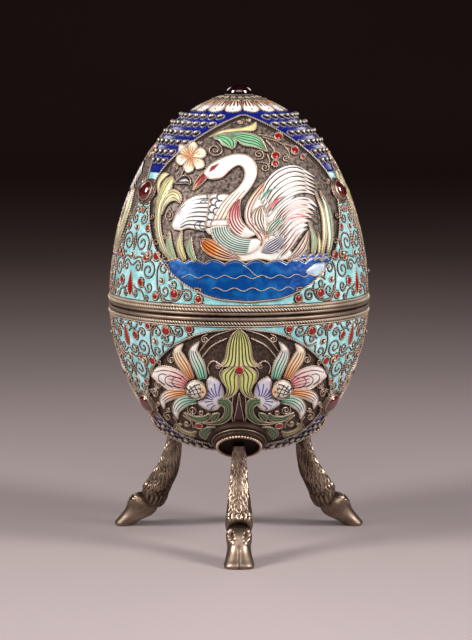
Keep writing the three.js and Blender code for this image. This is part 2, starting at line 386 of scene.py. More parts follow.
def patch(relief, left, right, colours, lines=0, line=JOINT_AND_SHADE_TINT, base=ENAMEL, crown=0.3, rim=0.2,
          span=(0.0, 1.0), width=0.24, columns=3):
    """Enamel cell between two side curves: a point is the mix of both sides at the same step, on
    a dome that is crown high in the middle. Its rims are dark where they meet the wire: a dark
    joint, with the wire's shade painted on the enamel. Painted lines run along it at even shares
    of the width, between the span's shares of its length. Colours blend from the start to the end."""
    left, right = left[:, :2], right[:, :2]
    count = len(left)
    d = np.gradient((left + right) / 2, axis=0)
    across = left - right
    if np.sum(d[:, 0] * across[:, 1] - d[:, 1] * across[:, 0]) < 0:
        left, right, across = right, left, -across
    half = np.maximum(np.linalg.norm(across, axis=1) / 2, NARROWEST)[:, None]
    gap = 2 / (lines + 1) if lines else 2 / (columns + 1)
    marks = 1 - gap * (1 + np.arange(lines or columns))
    section = [(1, 0, 1, 0), (1, -0.55 * rim, 1, 0), (1, -rim, 0, 0)][: 3 if rim else 1]
    for mark in marks:
        if lines:
            section += [(mark, width, 0, 0), (mark, 0.6 * width, 0, 1), (mark, -0.6 * width, 0, 1)]
        section.append((mark, -width if lines else 0, 0, 0))
    section += [(-1, rim, 0, 0), (-1, 0.55 * rim, 1, 0), (-1, 0, 1, 0)][0 if rim else 2 :]
    share, offset, rimmed, painted = np.array(section, float).T
    room = 0.45 * gap * np.abs(offset) / max(rim, width, 0.01)
    b = share + np.clip(offset / half, -room, room)
    height = base + crown * (1 - b**2) * np.minimum(half / DOMED, 1)
    b = np.hstack([np.ones((count, 1)), b, -np.ones((count, 1))])
    foot = np.full((count, 1), CELL_FOOT)
    height = np.hstack([foot, height, foot])
    mix = (1 + b)[..., None] / 2
    ends = left[:, None] * mix + right[:, None] * (1 - mix)
    t = np.linspace(0, 1, count)[:, None]
    rimmed = np.concatenate([[1], rimmed, [1]])[:, None] * (rim > 0)
    painted = (np.concatenate([[0], painted, [0]]) * ((t >= span[0]) & (t <= span[1])))[..., None]
    tint = ramp(colours, count)[:, None] * (1 - painted) + np.array(line) * painted
    # Rims take the joint's dark, which also paints the wire's shade on the enamel.
    tint = tint * (1 - rimmed) + np.array(JOINT_AND_SHADE_TINT) * rimmed
    relief.add(on_egg(ends[..., 0], ends[..., 1], height), tint=tint)


def leaf_sides(points, count):
    """Side curves of a leaf: points of its middle line, each with its half width."""
    p = spline(points, count)
    n = left_normal(p)
    half = np.maximum(p[:, 2:3], 0.02)
    return p[:, :2] + n * half, p[:, :2] - n * half


def outline_of(left, right):
    """Closed path round two side curves."""
    loop = np.vstack([left[:, :2], right[::-1, :2]])
    count = max(int(path_length(loop) / 0.6), 12)
    return even(np.vstack([loop, loop[:1]]), count + 1)[:-1]


DOME_RINGS = np.array([[1.0, -0.2], [1.0, 0.35], [0.93, 0.62], [0.72, 0.86], [0.42, 0.97], [0.14, 1]])


class Panel:
    """The reliefs of one panel: enamel cells, the wires that edge them, and grains."""

    def __init__(self, ground=0.0):
        self.enamel = Relief()
        self.wires = Relief()
        self.grains = Relief()
        self.side = 1
        self.ground = ground

    def fill(self, left, right, colours, edged=True, base=ENAMEL, **options):
        """Enamel between two side curves, with a thin wire round it, a little higher, if edged."""
        patch(self.enamel, left, right, colours, base=base, **options)
        if edged:
            # The wide dark strips beside this wire paint shade round the cell, with tarnish.
            wire(self.wires, outline_of(left, right), 0.11, base + 0.24, closed=True, foot=0.42)

    def cell(self, left, right, colours, count=18, **options):
        """Enamel between two side curves given by their points."""
        sides = (spline(flip(side, self.side), count) for side in (left, right))
        self.fill(*sides, colours, **options)

    def leaf(self, points, colours, count=18, **options):
        """Leaf along a middle line, given as points with half widths."""
        self.fill(*leaf_sides(flip(points, self.side), count), colours, **options)

    def spot(self, u, v, radius, rise, colour, sides=12):
        """Domed drop of enamel: rings of points at shares of the radius and of the rise."""
        a = around(sides)
        rho = radius * DOME_RINGS[:, :1]
        height = np.broadcast_to(rise * DOME_RINGS[:, 1:], (len(DOME_RINGS), sides))
        grid = on_egg(self.side * u + rho * np.cos(a), v + rho * np.sin(a), height)
        self.enamel.add(grid, tint=colour)

    def stroke(self, points, colour, half=0.1, top=0.5, count=14):
        """Painted or drawn line over the enamel."""
        path = spline(flip(points, self.side), count)
        a = np.broadcast_to(around(5) - math.pi / 2, (count, 5))
        across, height = half * np.cos(a), top / 2 + top / 2 * np.sin(a)
        self.enamel.add(sweep(path, across, height), tint=colour)

    def curl(self, *shape):
        """Spiral of wire lying on the ground, shaped as scroll takes it."""
        wire(self.wires, flip(scroll(*shape), self.side), 0.13, 0.5)

    def line(self, points, half=0.13, top=0.5):
        """Open wire."""
        wire(self.wires, spline(flip(points, self.side), 16), half, top)

    def dot(self, u, v, radius, colour, rise=0.5, half=0.16):
        """Domed dot of enamel in a ring of wire."""
        self.spot(u, v, radius, rise, colour)
        path = circle(self.side * u, v, radius + 0.75 * half)
        wire(self.wires, path, half, WIRE, closed=True, ground=self.ground)


BEAD_LEVELS = np.radians([140, 108, 76, 46, 18])[:, None]
BEAD_SIDES = 8


def beads(relief, u, v, radius, centre):
    """Round grains: level k of a sphere has radius r sin(k) and stands r cos(k) over its centre."""
    a = around(BEAD_SIDES)
    reach = radius * np.sin(BEAD_LEVELS)
    shape = (len(u), len(BEAD_LEVELS), BEAD_SIDES)
    height = np.broadcast_to(centre + radius * np.cos(BEAD_LEVELS), shape)
    grid = on_egg(u[:, None, None] + reach * np.cos(a), v[:, None, None] + reach * np.sin(a), height)
    # Bright on top and dark round the sides: a painted highlight and painted shade on each grain.
    wear = 0.06 + 0.94 * smooth_step(np.cos(BEAD_LEVELS), 0.32, 1.0) + 0 * a
    relief.metal(grid, wear)


# Section of a ring of wire: shares of its half width, height over the enamel, and wear.
RING_SECTION = np.array([(1, -0.1, 0), (0.7, 0.3, 1), (-0.7, 0.3, 1), (-1, -0.1, 0)])


def ring(relief, u, v, radius, half=0.15):
    """Small wire rings on the enamel: a section of four points carried round circles."""
    path = circle(u, v, radius, 12)
    shape = path.shape[:-1] + (4,)
    across, height, wear = (np.broadcast_to(column, shape) for column in RING_SECTION.T)
    grid = sweep(path, across * half, ENAMEL + height, closed=True)
    relief.metal(grid, wear.reshape(-1, *shape[-2:]), loop=True)


def turned(profile, segments):
    """Profile of radius and height turned about the axis. It runs up the outside and down the
    inside, so the faces of the grid point outwards."""
    p = np.array(profile, float)
    a = around(segments)
    x, y = p[:, :1] * np.sin(a), -p[:, :1] * np.cos(a)
    return np.stack([x, y, np.broadcast_to(p[:, 1:2], x.shape)], axis=-1)


def seated(grid, v, turn, lift=0.0):
    """A grid built about +Z at the origin, moved to stand on the egg at v and a turn in degrees,
    with +Z along the outward normal and +Y up the egg."""
    r, z = section_point(v, lift)
    nr, nz = np.interp(v, TABLE_V, TABLE_NR), np.interp(v, TABLE_V, TABLE_NZ)
    basis = np.array([[1, 0, 0], [0, nz, nr], [0, -nr, nz]], float)
    return (grid @ basis + (0, -r, z)) @ rotation(turn)


# ---- materials


class Nodes:
    """Adds nodes to a tree. Inputs go by name or number and come from a socket or a value."""

    def __init__(self, tree):
        self.tree = tree

    def add(self, kind, inputs=None, **settings):
        """A node with its settings and inputs."""
        node = self.tree.nodes.new("ShaderNode" + kind)
        for key, value in settings.items():
            setattr(node, key, value)
        self.feed(node, inputs or {})
        return node

    def feed(self, node, inputs):
        """Leads sockets or values into a node's inputs."""
        for key, value in inputs.items():
            if isinstance(value, bpy.types.NodeSocket):
                self.tree.links.new(value, node.inputs[key])
            else:
                node.inputs[key].default_value = value

    def place(self):
        """Place on the object."""
        return self.add("TexCoord").outputs["Object"]

    def attribute(self, name, output="Fac"):
        """Value that the mesh carries."""
        return self.add("Attribute", attribute_name=name).outputs[output]

    def noise(self, scale, detail, roughness=0.5):
        """Cloudy pattern on the object, about 0.3 to 0.7."""
        inputs = {"Vector": self.place(), "Scale": scale, "Detail": detail, "Roughness": roughness}
        return self.add("TexNoise", inputs).outputs[0]

    def math(self, operation, *values, **settings):
        """Result of an operation."""
        return self.add("Math", dict(enumerate(values)), operation=operation, **settings).outputs[0]

    def remap(self, value, low, high, start, end):
        """Value moved from the span low to high onto the span start to end, and held in it."""
        return self.add("MapRange", {0: value, 1: low, 2: high, 3: start, 4: end}).outputs[0]

    def blend(self, share, first, second):
        """Colour between two colours."""
        return self.add("Mix", {0: share, 6: first, 7: second}, data_type="RGBA").outputs[2]

    def shade(self, colour, value):
        """Colour made darker or lighter."""
        return self.add("HueSaturation", {"Value": value, "Color": colour}).outputs[0]

    def bump(self, height, strength, distance):
        """Normal of a surface with a height."""
        return self.add("Bump", {"Height": height, "Strength": strength, "Distance": distance}).outputs[0]


FLOAT = "NodeSocketFloat"
COLOUR = "NodeSocketColor"
VECTOR = "NodeSocketVector"


def shared_group(name, build, inputs):
    """The node group of that name, built the first time it is asked for. It has the named inputs,
    and puts out the colour, roughness and normal that build works out from them."""
    known = bpy.data.node_groups.get(name)
    if known:
        return known
    tree = bpy.data.node_groups.new(name, "ShaderNodeTree")
    for label, kind, default in inputs:
        tree.interface.new_socket(label, in_out="INPUT", socket_type=kind).default_value = default
    for label, kind in (("Colour", COLOUR), ("Roughness", FLOAT), ("Normal", VECTOR)):
        tree.interface.new_socket(label, in_out="OUTPUT", socket_type=kind)
    nodes = Nodes(tree)
    given = tree.nodes.new("NodeGroupInput").outputs
    nodes.feed(tree.nodes.new("NodeGroupOutput"), build(nodes, given))
    return tree


PATINA_INPUTS = [("Wear and shade", FLOAT, 1.0), ("Strand", FLOAT, PLAIN_STRAND), ("Twist", FLOAT, 0.0),
                 ("Bright", COLOUR, (0.6, 0.54, 0.47, 1)), ("Dark", COLOUR, (0.05, 0.035, 0.025, 1)),
                 ("Cloud scale", FLOAT, 120.0), ("Grain scale", FLOAT, 2500.0), ("Grain", FLOAT, 0.2),
                 ("Worn roughness", FLOAT, 0.3)]
GLAZE_INPUTS = [("Tint", COLOUR, (0.5, 0.5, 0.5, 1)), ("Cloud scale", FLOAT, 500.0), ("Cloud", FLOAT, 0.25),
                ("Unevenness", FLOAT, 0.2), ("Painted sheen", FLOAT, 0.0)]


def patina(nodes, given):
    """Old silver: bright where handled, brown in the hollows, with cloudy tarnish and fine specks.
    Its wear value also carries painted shade and painted highlights from the mesh. Twist darkens
    and dents a wire between the turns of its strands."""
    cloud = nodes.noise(given["Cloud scale"], 4.0, 0.6)
    grain = nodes.noise(given["Grain scale"], 2.0, 0.6)
    wave = nodes.math("SINE", nodes.math("MULTIPLY", given["Strand"], 2 * math.pi))
    twist = nodes.math("MULTIPLY", nodes.remap(wave, -1.0, 0.6, 1.0, 0.0), given["Twist"])
    worn = nodes.math("SUBTRACT", given["Wear and shade"], twist)
    clouded = nodes.math("ADD", worn, nodes.remap(cloud, 0.3, 0.7, -0.18, 0.16))
    speck = nodes.math("MULTIPLY", nodes.remap(grain, 0.3, 0.7, -1.0, 1.0), given["Grain"])
    level = nodes.math("ADD", clouded, speck, use_clamp=True)
    height = nodes.math("SUBTRACT", nodes.math("MULTIPLY", grain, given["Grain"]), twist)
    return {"Colour": nodes.blend(level, given["Dark"], given["Bright"]),
            "Roughness": nodes.remap(level, 0.0, 1.0, 0.62, given["Worn roughness"]),
            "Normal": nodes.bump(height, 0.7, 0.00012)}


def glaze(nodes, given):
    """Fired enamel: cloudy depth of colour, pale patches that paint highlights on the glossy cells, dark
    specks, and an uneven glossy skin.
    """
    cloud = nodes.noise(given["Cloud scale"], 3.0, 0.65)
    speck = nodes.add("TexVoronoi", {"Vector": nodes.place(), "Scale": 1700.0}).outputs["Distance"]
    amount = nodes.math("MULTIPLY", nodes.remap(cloud, 0.3, 0.7, -0.5, 0.5), given["Cloud"])
    value = nodes.math("ADD", amount, nodes.remap(speck, 0.0, 0.16, 0.45, 1.0))
    # Pale patches towards white: painted highlights of the glossy cells.
    sheen_share = nodes.remap(cloud, 0.42, 0.66, 0.0, given["Painted sheen"])
    height = nodes.math("MULTIPLY", cloud, given["Unevenness"])
    return {"Colour": nodes.shade(nodes.blend(sheen_share, given["Tint"], (0.75, 0.9, 0.92, 1)), value),
            "Roughness": nodes.remap(cloud, 0.3, 0.7, 0.16, 0.3),
            "Normal": nodes.bump(height, 0.6, 0.0002)}


def made_once(build):
    """Material builder that keeps to the material of its name once it is made."""
    return lambda name, *given, **options: bpy.data.materials.get(name) or build(name, *given, **options)


def new_material(name, metallic, **constants):
    """Material with a Principled shader: the material, its nodes and the shader."""
    material = bpy.data.materials.new(name)
    material.use_nodes = True
    nodes = Nodes(material.node_tree)
    shader = material.node_tree.nodes["Principled BSDF"]
    constants["Metallic"] = metallic
    nodes.feed(shader, {label.replace("_", " "): value for label, value in constants.items()})
    return material, nodes, shader


def skin(nodes, shader, group, inputs):
    """Leads a group's colour, roughness and normal into the shader."""
    out = nodes.add("Group", inputs, node_tree=group).outputs
    nodes.feed(
        shader,
        {"Base Color": out["Colour"], "Roughness": out["Roughness"], "Normal": out["Normal"]})


def rgba(colour):
    """Colour with full alpha."""
    return (*colour[:3], 1.0)


@made_once
def silver_material(name, bright, dark, twist=0.0, grain=0.2, cloud=120.0, metallic=1.0, worn=0.3,
                    fine=2500.0):
    """Patinated silver that reads wear, with its painted shade and highlights, and strand from the
    mesh. A fine wire is set less metallic than a broad surface, since its rounded top catches
    light from every side."""
    material, nodes, shader = new_material(name, metallic)
    skin(nodes, shader, shared_group("Silver patina", patina, PATINA_INPUTS), {
        "Wear and shade": nodes.attribute("wear"), "Strand": nodes.attribute("strand"), "Bright": rgba(bright),
        "Dark": rgba(dark), "Twist": twist, "Grain": grain, "Cloud scale": cloud, "Grain scale": fine,
        "Worn roughness": worn})
    return material


@made_once
def enamel_material(name, cloud=0.25, scale=500.0, uneven=0.2, painted_sheen=0.0):
    """Enamel that takes its colour from the mesh."""
    material, nodes, shader = new_material(name, 0.0, Coat_Weight=0.15, Coat_Roughness=0.1)
    skin(nodes, shader, shared_group("Enamel glaze", glaze, GLAZE_INPUTS), {
        "Tint": nodes.attribute("tint", "Color"), "Cloud": cloud, "Cloud scale": scale,
        "Unevenness": uneven, "Painted sheen": painted_sheen})
    return material


@made_once
def water_material(name):
    """Clear blue enamel over bright silver: deep blue with soft lighter spots."""
    material, nodes, shader = new_material(name, 0.3, Coat_Weight=0.6, Coat_Roughness=0.05)
    spot = nodes.noise(280.0, 2.0)
    light = nodes.remap(spot, 0.5, 0.74, 0.0, 0.7)
    nodes.feed(
        shader,
        {"Base Color": nodes.blend(light, nodes.attribute("tint", "Color"), (0.004, 0.2, 0.54, 1)),
         "Roughness": nodes.remap(spot, 0.3, 0.7, 0.2, 0.36), "Normal": nodes.bump(spot, 0.5, 0.0004)})
    return material


@made_once
def garnet_material(name, share=1.0):
    """Dark red stone with a polished skin."""
    material, nodes, shader = new_material(name, 0.0, IOR=1.76, Coat_Weight=1.0, Coat_Roughness=0.02,
                                           Roughness=0.08)
    depth = nodes.remap(nodes.noise(500.0, 3.0), 0.3, 0.7, 0.4, 1.6)
    nodes.feed(shader, {"Base Color": nodes.shade(rgba(palette().garnet * share), depth)})
    return material


# ---- settings a user may change


def length(name, description, millimetres):
    """Length property, in metres."""
    return FloatProperty(name=name, description=description, default=millimetres * MM, min=0.0,
                         unit="LENGTH", precision=5)


def colour(name, description, value):
    """Colour property, linear."""
    return FloatVectorProperty(name=name, description=description, default=value, size=3,
                               min=0.0, max=1.0, subtype="COLOR")


class EggSizes(bpy.types.PropertyGroup):
    """Sizes of the ornament."""

    wire_half: length("Scroll wire", "Half the width of the twisted wire of the scrollwork", 0.12)
    frame_rope: length("Frame rope", "Radius of the rope wire that frames a panel", 0.23)
    rim_rope: length("Rim rope", "Radius of the rope wire round the rims", 0.42)
    bead: length("Bead", "Radius of the silver grains on the cobalt ground", 0.66)
    bead_step: length("Bead spacing", "Distance between grains in a row", 2.4)
    petals: IntProperty(name="Petals", description="Petals of the rosette on top", default=15, min=5)


class EggColours(bpy.types.PropertyGroup):
    """Colours of enamel, stone and metal."""

    turquoise: colour("Turquoise", "Ground of the spandrels", (0.27, 0.63, 0.67))
    cobalt: colour("Cobalt", "Ground of the bead rows and the crown", (0.005, 0.012, 0.175))
    white: colour("White", "Swan, petals and pale feathers", (0.80, 0.77, 0.73))
    cream: colour("Cream", "Blossom and warm feathers", (0.80, 0.66, 0.44))
    red: colour("Red", "Dots, beak and lozenges", (0.28, 0.005, 0.007))
    pink: colour("Pink", "Rosy feathers", (0.72, 0.22, 0.22))
    orange: colour("Orange", "Orange feathers and petals", (0.80, 0.27, 0.04))
    lime: colour("Yellow-green", "Reeds and the lily", (0.62, 0.64, 0.21))
    green: colour("Green", "Leaves", (0.17, 0.38, 0.16))
    olive: colour("Dark green", "Leaves beside the legs", (0.055, 0.12, 0.055))
    mint: colour("Mint", "Cool petals", (0.15, 0.55, 0.35))
    lilac: colour("Lilac", "Lilac feathers and petals", (0.45, 0.42, 0.72))
    ink: colour("Ink", "Dark painted lines", (0.03, 0.02, 0.018))
    water: colour("Water", "Transparent blue over silver", (0.001, 0.068, 0.31))
    garnet: colour("Garnet", "Cabochons", (0.085, 0.009, 0.010))
    bright: colour("Bright silver", "Handled silver", (0.62, 0.457, 0.352))
    tarnish: colour("Tarnish", "Brown silver in the hollows", (0.03, 0.018, 0.012))
    matted: colour("Matted silver", "Stippled ground of the pictures", (0.195, 0.145, 0.121))


def palette():
    """The colours as arrays."""
    props = bpy.context.scene.egg_colours
    return SimpleNamespace(**{key: np.array(getattr(props, key)) for key in EggColours.__annotations__})


def sizes():
    """The sizes in millimetres, and the counts."""
    props = bpy.context.scene.egg_sizes
    values = {key: getattr(props, key) for key in EggSizes.__annotations__}
    return SimpleNamespace(**{key: value if isinstance(value, int) else value / MM
                              for key, value in values.items()})


MATTING = {"grain": 0.6, "cloud": 90.0, "metallic": 0.35, "worn": 0.5, "fine": 1300.0}


def silver(kind):
    """One of the silvers, from the user's bright silver and tarnish or from colours of its own."""
    c = palette()
    bright, dark, options = {
        "Filigree": (
            np.minimum(c.bright * 1.75, 1), c.tarnish, {"twist": 0.8, "grain": 0.05, "metallic": 0.35}),
        "Rosy": ((0.9, 0.61, 0.45), (0.014, 0.009, 0.009), {"twist": 1.0, "grain": 0.05, "metallic": 0.3}),
        "Picture": (c.bright * 1.2, c.tarnish, {"twist": 0.5, "grain": 0.12, "metallic": 0.5}),
        "Grain": ((0.78, 0.68, 0.58), (0.02, 0.015, 0.015), {"grain": 0.03, "worn": 0.2, "metallic": 0.7}),
        "Ring": ((0.42, 0.36, 0.44), (0.02, 0.016, 0.03), {"grain": 0.1, "metallic": 0.5}),
        "Turned": (c.bright, c.tarnish * 1.4, {"grain": 0.12, "metallic": 0.85}),
        "Lining": (c.bright * 0.9, c.tarnish, {"grain": 0.05}),
        "Matted": (c.matted * 1.4, c.tarnish * 0.7, MATTING),
        "Dark matted": (c.matted * (0.58, 0.45, 0.385), c.tarnish * 0.7, MATTING),
        "Cast": (
            c.bright * 0.86, c.tarnish * 1.3,
            {"grain": 0.13, "cloud": 150.0, "fine": 1900.0, "worn": 0.18}),
    }[kind]
    return silver_material(f"{kind} silver", bright, dark, **options)


# ---- panel outlines

# Right half of each panel's frame in its chart, from the top of the middle line down to its foot.
LID_FRAME = [
    (0, 55.6), (6, 51.6), (14.5, 45.3), (20.4, 40.6), (25, 36), (27.7, 31.5), (28.2, 27), (27.6, 21.5),
    (25.4, 16), (21.8, 11.6), (17, 8), (9.5, 4.7), (0, 3.6)]
LOWER_FRAME = [
    (0, -2.9), (9.5, -4.4), (17, -7.9), (22, -12), (25.6, -16.6), (27.2, -21), (26.4, -25.5), (23.6, -30),
    (19, -35), (12, -39.5), (0, -44)]
FRAME_POINTS = 90


def frame_half(points, inset=0.0):
    """Right half of a panel frame as an even path, moved inwards by inset."""
    path = spline(points, FRAME_POINTS)
    n = left_normal(path)
    inward = -1 if n[FRAME_POINTS // 3, 0] > 0 else 1
    return path + n * inset * inward


def frame_loop(points, inset=0.0):
    """Closed frame: the right half and its mirror image."""
    half = frame_half(points, inset)
    half = half[half[:, 0] > 0.02]
    return np.vstack([half, flip(half, -1)[::-1]])


def frame_width(points, v):
    """Half width of a panel at v, or 0 beyond its ends."""
    half = frame_half(points)
    half = half[np.argsort(half[:, 1])]
    return np.interp(v, half[:, 1], half[:, 0], left=0.0, right=0.0)


def spandrel_width(points, v):
    """Half the width between two panels at v."""
    return half_sector(v) - frame_width(points, v)


def field(frame_points, low, high, colour, base):
    """Enamel ground between two panels from v low to v high, in the chart of the sector's edge."""
    relief = Relief()
    v = np.linspace(low, high, 32)
    w = spandrel_width(frame_points, v) + 0.03
    left, right = np.stack([-w, v], axis=-1), np.stack([w, v], axis=-1)
    patch(relief, left, right, colour, base=base, crown=0.0, rim=0.0, columns=24)
    return relief


def panel_turns(start):
    """Turns of the three panels."""
    return [start + SECTOR * k for k in range(SECTORS)]


def spandrel_turns(start):
    """Turns of the three edges between panels."""
    return [start + SECTOR * (k + 0.5) for k in range(SECTORS)]


# ---- shells and grounds


SHELL_ROWS = 48
SHELL_SEGMENTS = 128


def shell_sides(low_v, high_v):
    """Wall between two v: the outside on the ground going up, and the inside, WALL deeper, going down."""
    v = np.linspace(low_v, high_v, SHELL_ROWS)
    sides = [np.stack(section_point(way, depth), axis=-1) for way, depth in ((v, 0), (v[::-1], -WALL))]
    return [np.maximum(side, (POLE, 0)) for side in sides]


class EGG_OT_shells(bpy.types.Operator):
    """Silver walls of the lid and the lower half: matted outside, plain inside"""

    bl_idname = "egg.shells"
    bl_label = "Shells"

    def execute(self, context):
        lid = shell_sides(v_at_height(LID_RIM_TOP), TOP_V)[::-1]
        lower = shell_sides(BOTTOM_V, v_at_height(RIM_LOW[2]))
        for name, node, sides, matted in (
            ("lid_shell", "lid", lid, "Matted"), ("lower_shell", "lower_half", lower, "Dark matted"),
        ):
            relief = Relief()
            relief.metal(turned(np.vstack(sides), SHELL_SEGMENTS), 0.44)
            piece = relief.make(name, silver(matted), "silver", replaces=(node,))
            piece.data.materials.append(silver("Lining"))
            # The inside takes the lining. On the lid its faces come first.
            rows = np.repeat(np.arange(2 * SHELL_ROWS - 1), SHELL_SEGMENTS)
            index = np.zeros(len(piece.data.polygons), int)
            index[: len(rows)] = rows < SHELL_ROWS if node == "lid" else rows >= SHELL_ROWS - 1
            piece.data.polygons.foreach_set("material_index", index)
        return {"FINISHED"}


GROUND_EDGE = 2.2  # v, on both sides of the seam, where the grounds end beside the rims
TURQUOISE_TOP = 36.1  # v where the lid's turquoise gives way to cobalt
TURQUOISE_FOOT = -26.5
CROWN_FOOT = 56.4  # v from which the cobalt lies lower, under the rosette
CROWN_TOP = 66
BOTTOM_END = -57.5


class EGG_OT_grounds(bpy.types.Operator):
    """Turquoise and cobalt enamel grounds between the picture panels"""

    bl_idname = "egg.grounds"
    bl_label = "Enamel grounds"

    def execute(self, context):
        c = palette()
        lid = spandrel_turns(LID_TURN)
        lower = spandrel_turns(0)
        # The turquoise takes pale painted highlights on its glossy cells.
        turquoise = enamel_material("Turquoise enamel", cloud=0.3, scale=330.0, uneven=0.3, painted_sheen=0.45)
        cobalt = enamel_material("Cobalt enamel", cloud=0.5, scale=260.0, uneven=0.35)
        for name, low, high, outline, tint, material, turns, base in (
            ("lid_turquoise", GROUND_EDGE, TURQUOISE_TOP, LID_FRAME, c.turquoise, turquoise, lid, ENAMEL),
            ("lid_cobalt", TURQUOISE_TOP, CROWN_FOOT, LID_FRAME, c.cobalt, cobalt, lid, ENAMEL),
            ("crown_cobalt", CROWN_FOOT, CROWN_TOP, LID_FRAME, c.cobalt, cobalt, lid, 0.1),
            ("lower_turquoise", TURQUOISE_FOOT, -GROUND_EDGE, LOWER_FRAME, c.turquoise, turquoise, lower,
             ENAMEL),
            ("lower_cobalt", BOTTOM_END, TURQUOISE_FOOT, LOWER_FRAME, c.cobalt, cobalt, lower, ENAMEL),
        ):
            slot = "lid_enamel" if turns is lid else "lower_enamel"
            field(outline, low, high, tint, base).make(name, material, slot, turns)
        return {"FINISHED"}


GROOVE_INSET = 0.45  # from the frame's middle to the groove's
FRAME_PITCH = 0.74
FRAME_LIFT = 0.48  # height of the rope's middle
LID_BORDER, LOWER_BORDER = 2.55, -2.5  # v of the border wires beside the rims


class EGG_OT_frames(bpy.types.Operator):
    """Rope frames round the picture panels with a blackened groove inside, and border wires"""

    bl_idname = "egg.frames"
    bl_label = "Panel frames"

    def execute(self, context):
        metal = silver("Filigree")
        radius = sizes().frame_rope
        for name, outline, start, edge_v in (
            ("lid", LID_FRAME, LID_TURN, LID_BORDER), ("lower", LOWER_FRAME, 0, LOWER_BORDER),
        ):
            relief = Relief()
            wire(relief, frame_loop(outline, GROOVE_INSET), 0.2, 0.12, closed=True, worn=0.0)
            wire(relief, frame_loop(outline), 0.14, 0.36, closed=True, worn=0.0, foot=0.34)
            rope(relief, frame_loop(outline), radius, FRAME_PITCH, FRAME_LIFT)
            relief.make(f"{name}_panel_frames", metal, "silver", panel_turns(start))
            border = Relief()
            half = half_sector(edge_v)
            path = np.stack([np.linspace(-half, half, 120), np.full(120, edge_v)], axis=-1)
            wire(border, path, 0.15, 0.62, ground=ENAMEL)
            border.make(f"{name}_border_wires", metal, "silver", spandrel_turns(start))
        return {"FINISHED"}


# ---- scrollwork and grains

# Right half of the scrollwork in the chart of the edge between two panels:
# u, v, radius, start angle, turns, hand, and tail in radii.
LID_SCROLLS = [
    (19.3, 4.9, 1.6, 130, 1.4, 1, 0.9), (12.8, 5.8, 1.6, 170, 1.3, -1, 0.5),
    (12.1, 11.3, 1.8, 340, 1.35, -1, 1), (6.9, 10.6, 2.6, 110, 1.5, 1, 0.9),
    (7.5, 6.4, 1.4, 200, 1.3, -1, 0.7), (2.6, 11.3, 1.6, 150, 1.3, 1, 0.7),
    (3.2, 17.4, 2.8, 340, 1.6, -1, 0.5), (1.9, 23.6, 1.6, 60, 1.4, 1, 0.6),
    (15.3, 7.6, 1.2, 200, 1.2, -1, 0.3), (8.5, 17.8, 1.1, 250, 1.3, 1, 0.8),
    (2.4, 4.5, 1, 200, 1.2, -1, 0.6), (22.4, 6.2, 0.8, 120, 1.2, 1, 0.8),
    (11.9, 14.6, 0.8, 100, 1.2, -1, 0.5), (1.4, 28.2, 1.1, 100, 1.3, 1, 0.5),
    (5.2, 24.4, 0.8, 220, 1.2, -1, 0.6), (12.6, 3.5, 0.6, 0, 1.2, 1, 0.5),
    (6.9, 3.5, 0.7, 180, 1.2, 1, 0.5), (1.2, 33, 0.9, 80, 1.2, -1, 0.5)]
LID_DOTS = [
    (22.6, 4.2, 0.75), (15.8, 5.2, 0.95), (9.9, 4.3, 0.7), (4.5, 7.4, 0.9), (9.3, 14.4, 0.9),
    (5.5, 13.7, 0.65), (4.4, 21.4, 0.65), (2.9, 30.4, 0.5), (0.8, 25.9, 0.45)]
LID_ARCS = [
    [(13.9, 8.6), (15.1, 9.4), (16.8, 9.1), (18, 7), (17.6, 4.8), (15.8, 3.4), (14, 3.3), (11.7, 3.7),
     (10.8, 5.6), (10.3, 7.4), (10.1, 9), (10, 11.2), (10.8, 13)],
    [(1.5, 6.4), (2.7, 5.6), (4.8, 5.2), (6, 3.6)], [(0.6, 13.2), (3, 13.8), (4.4, 12.6), (4.4, 10.4)],
    [(0, 27), (1, 26.3), (2.6, 26.5), (3.6, 25.2)], [(7, 15.8), (7.6, 14.2), (6.9, 13.2)],
    [(0, 15.4), (0.5, 17.8), (0, 20)],
    [(3.4, 14.7), (5.4, 14.9), (6.6, 16.6), (6.4, 19.4), (5.6, 20.8)],
    [(20.6, 2.9), (22.4, 3), (24.3, 2.9)], [(0, 29.9), (0.8, 31.2), (0, 32.2)]]
LID_GRAINS = [(11.8, 8.4), (6.4, 14.6), (0, 21.2), (0, 14.2)]


def mirrored(rows):
    """Scrollwork of the lower half: the lid's, turned over and drawn closer to the seam."""
    rows = np.array(rows, float)
    rows[:, 1] = 0.4 - 0.913 * rows[:, 1]
    return rows


def lozenge(panel, v, tint):
    """Drop of enamel, upright on the edge between two panels and pointed at the top."""
    points = [
        (0, v - 3, 0.35), (0, v - 2.2, 1.05), (0, v - 0.8, 1.2), (0, v + 1.2, 0.7), (0, v + 3.4, 0.04)]
    panel.leaf(points, tint, crown=0.25)


def spandrel(placed, half, c, lozenge_v):
    """Scrollwork of one edge between panels, both halves: wires, red dots and small grains. The
    function placed moves the lid's rows of points to where they belong."""
    panel = Panel(ENAMEL)
    paths = [scroll(*row) for row in LID_SCROLLS] + [spline(points, 18) for points in LID_ARCS]
    for side in (1, -1):
        panel.side = side
        for path in paths:
            wire(panel.wires, flip(placed(path), side), half, ground=ENAMEL, foot=0.27)
        for u, v, radius in placed(LID_DOTS):
            panel.dot(u, v, radius + 0.05, c.red, rise=0.6, half=0.2)
    panel.side = 1
    lozenge(panel, lozenge_v, c.red)
    grains = placed(LID_GRAINS)
    u, v = np.array([(side * x, y) for x, y in grains for side in (1, -1) if x or side > 0], float).T
    beads(panel.grains, u, v, 0.62, 0.65)
    ring(panel.wires, u, v, 0.8)
    return panel


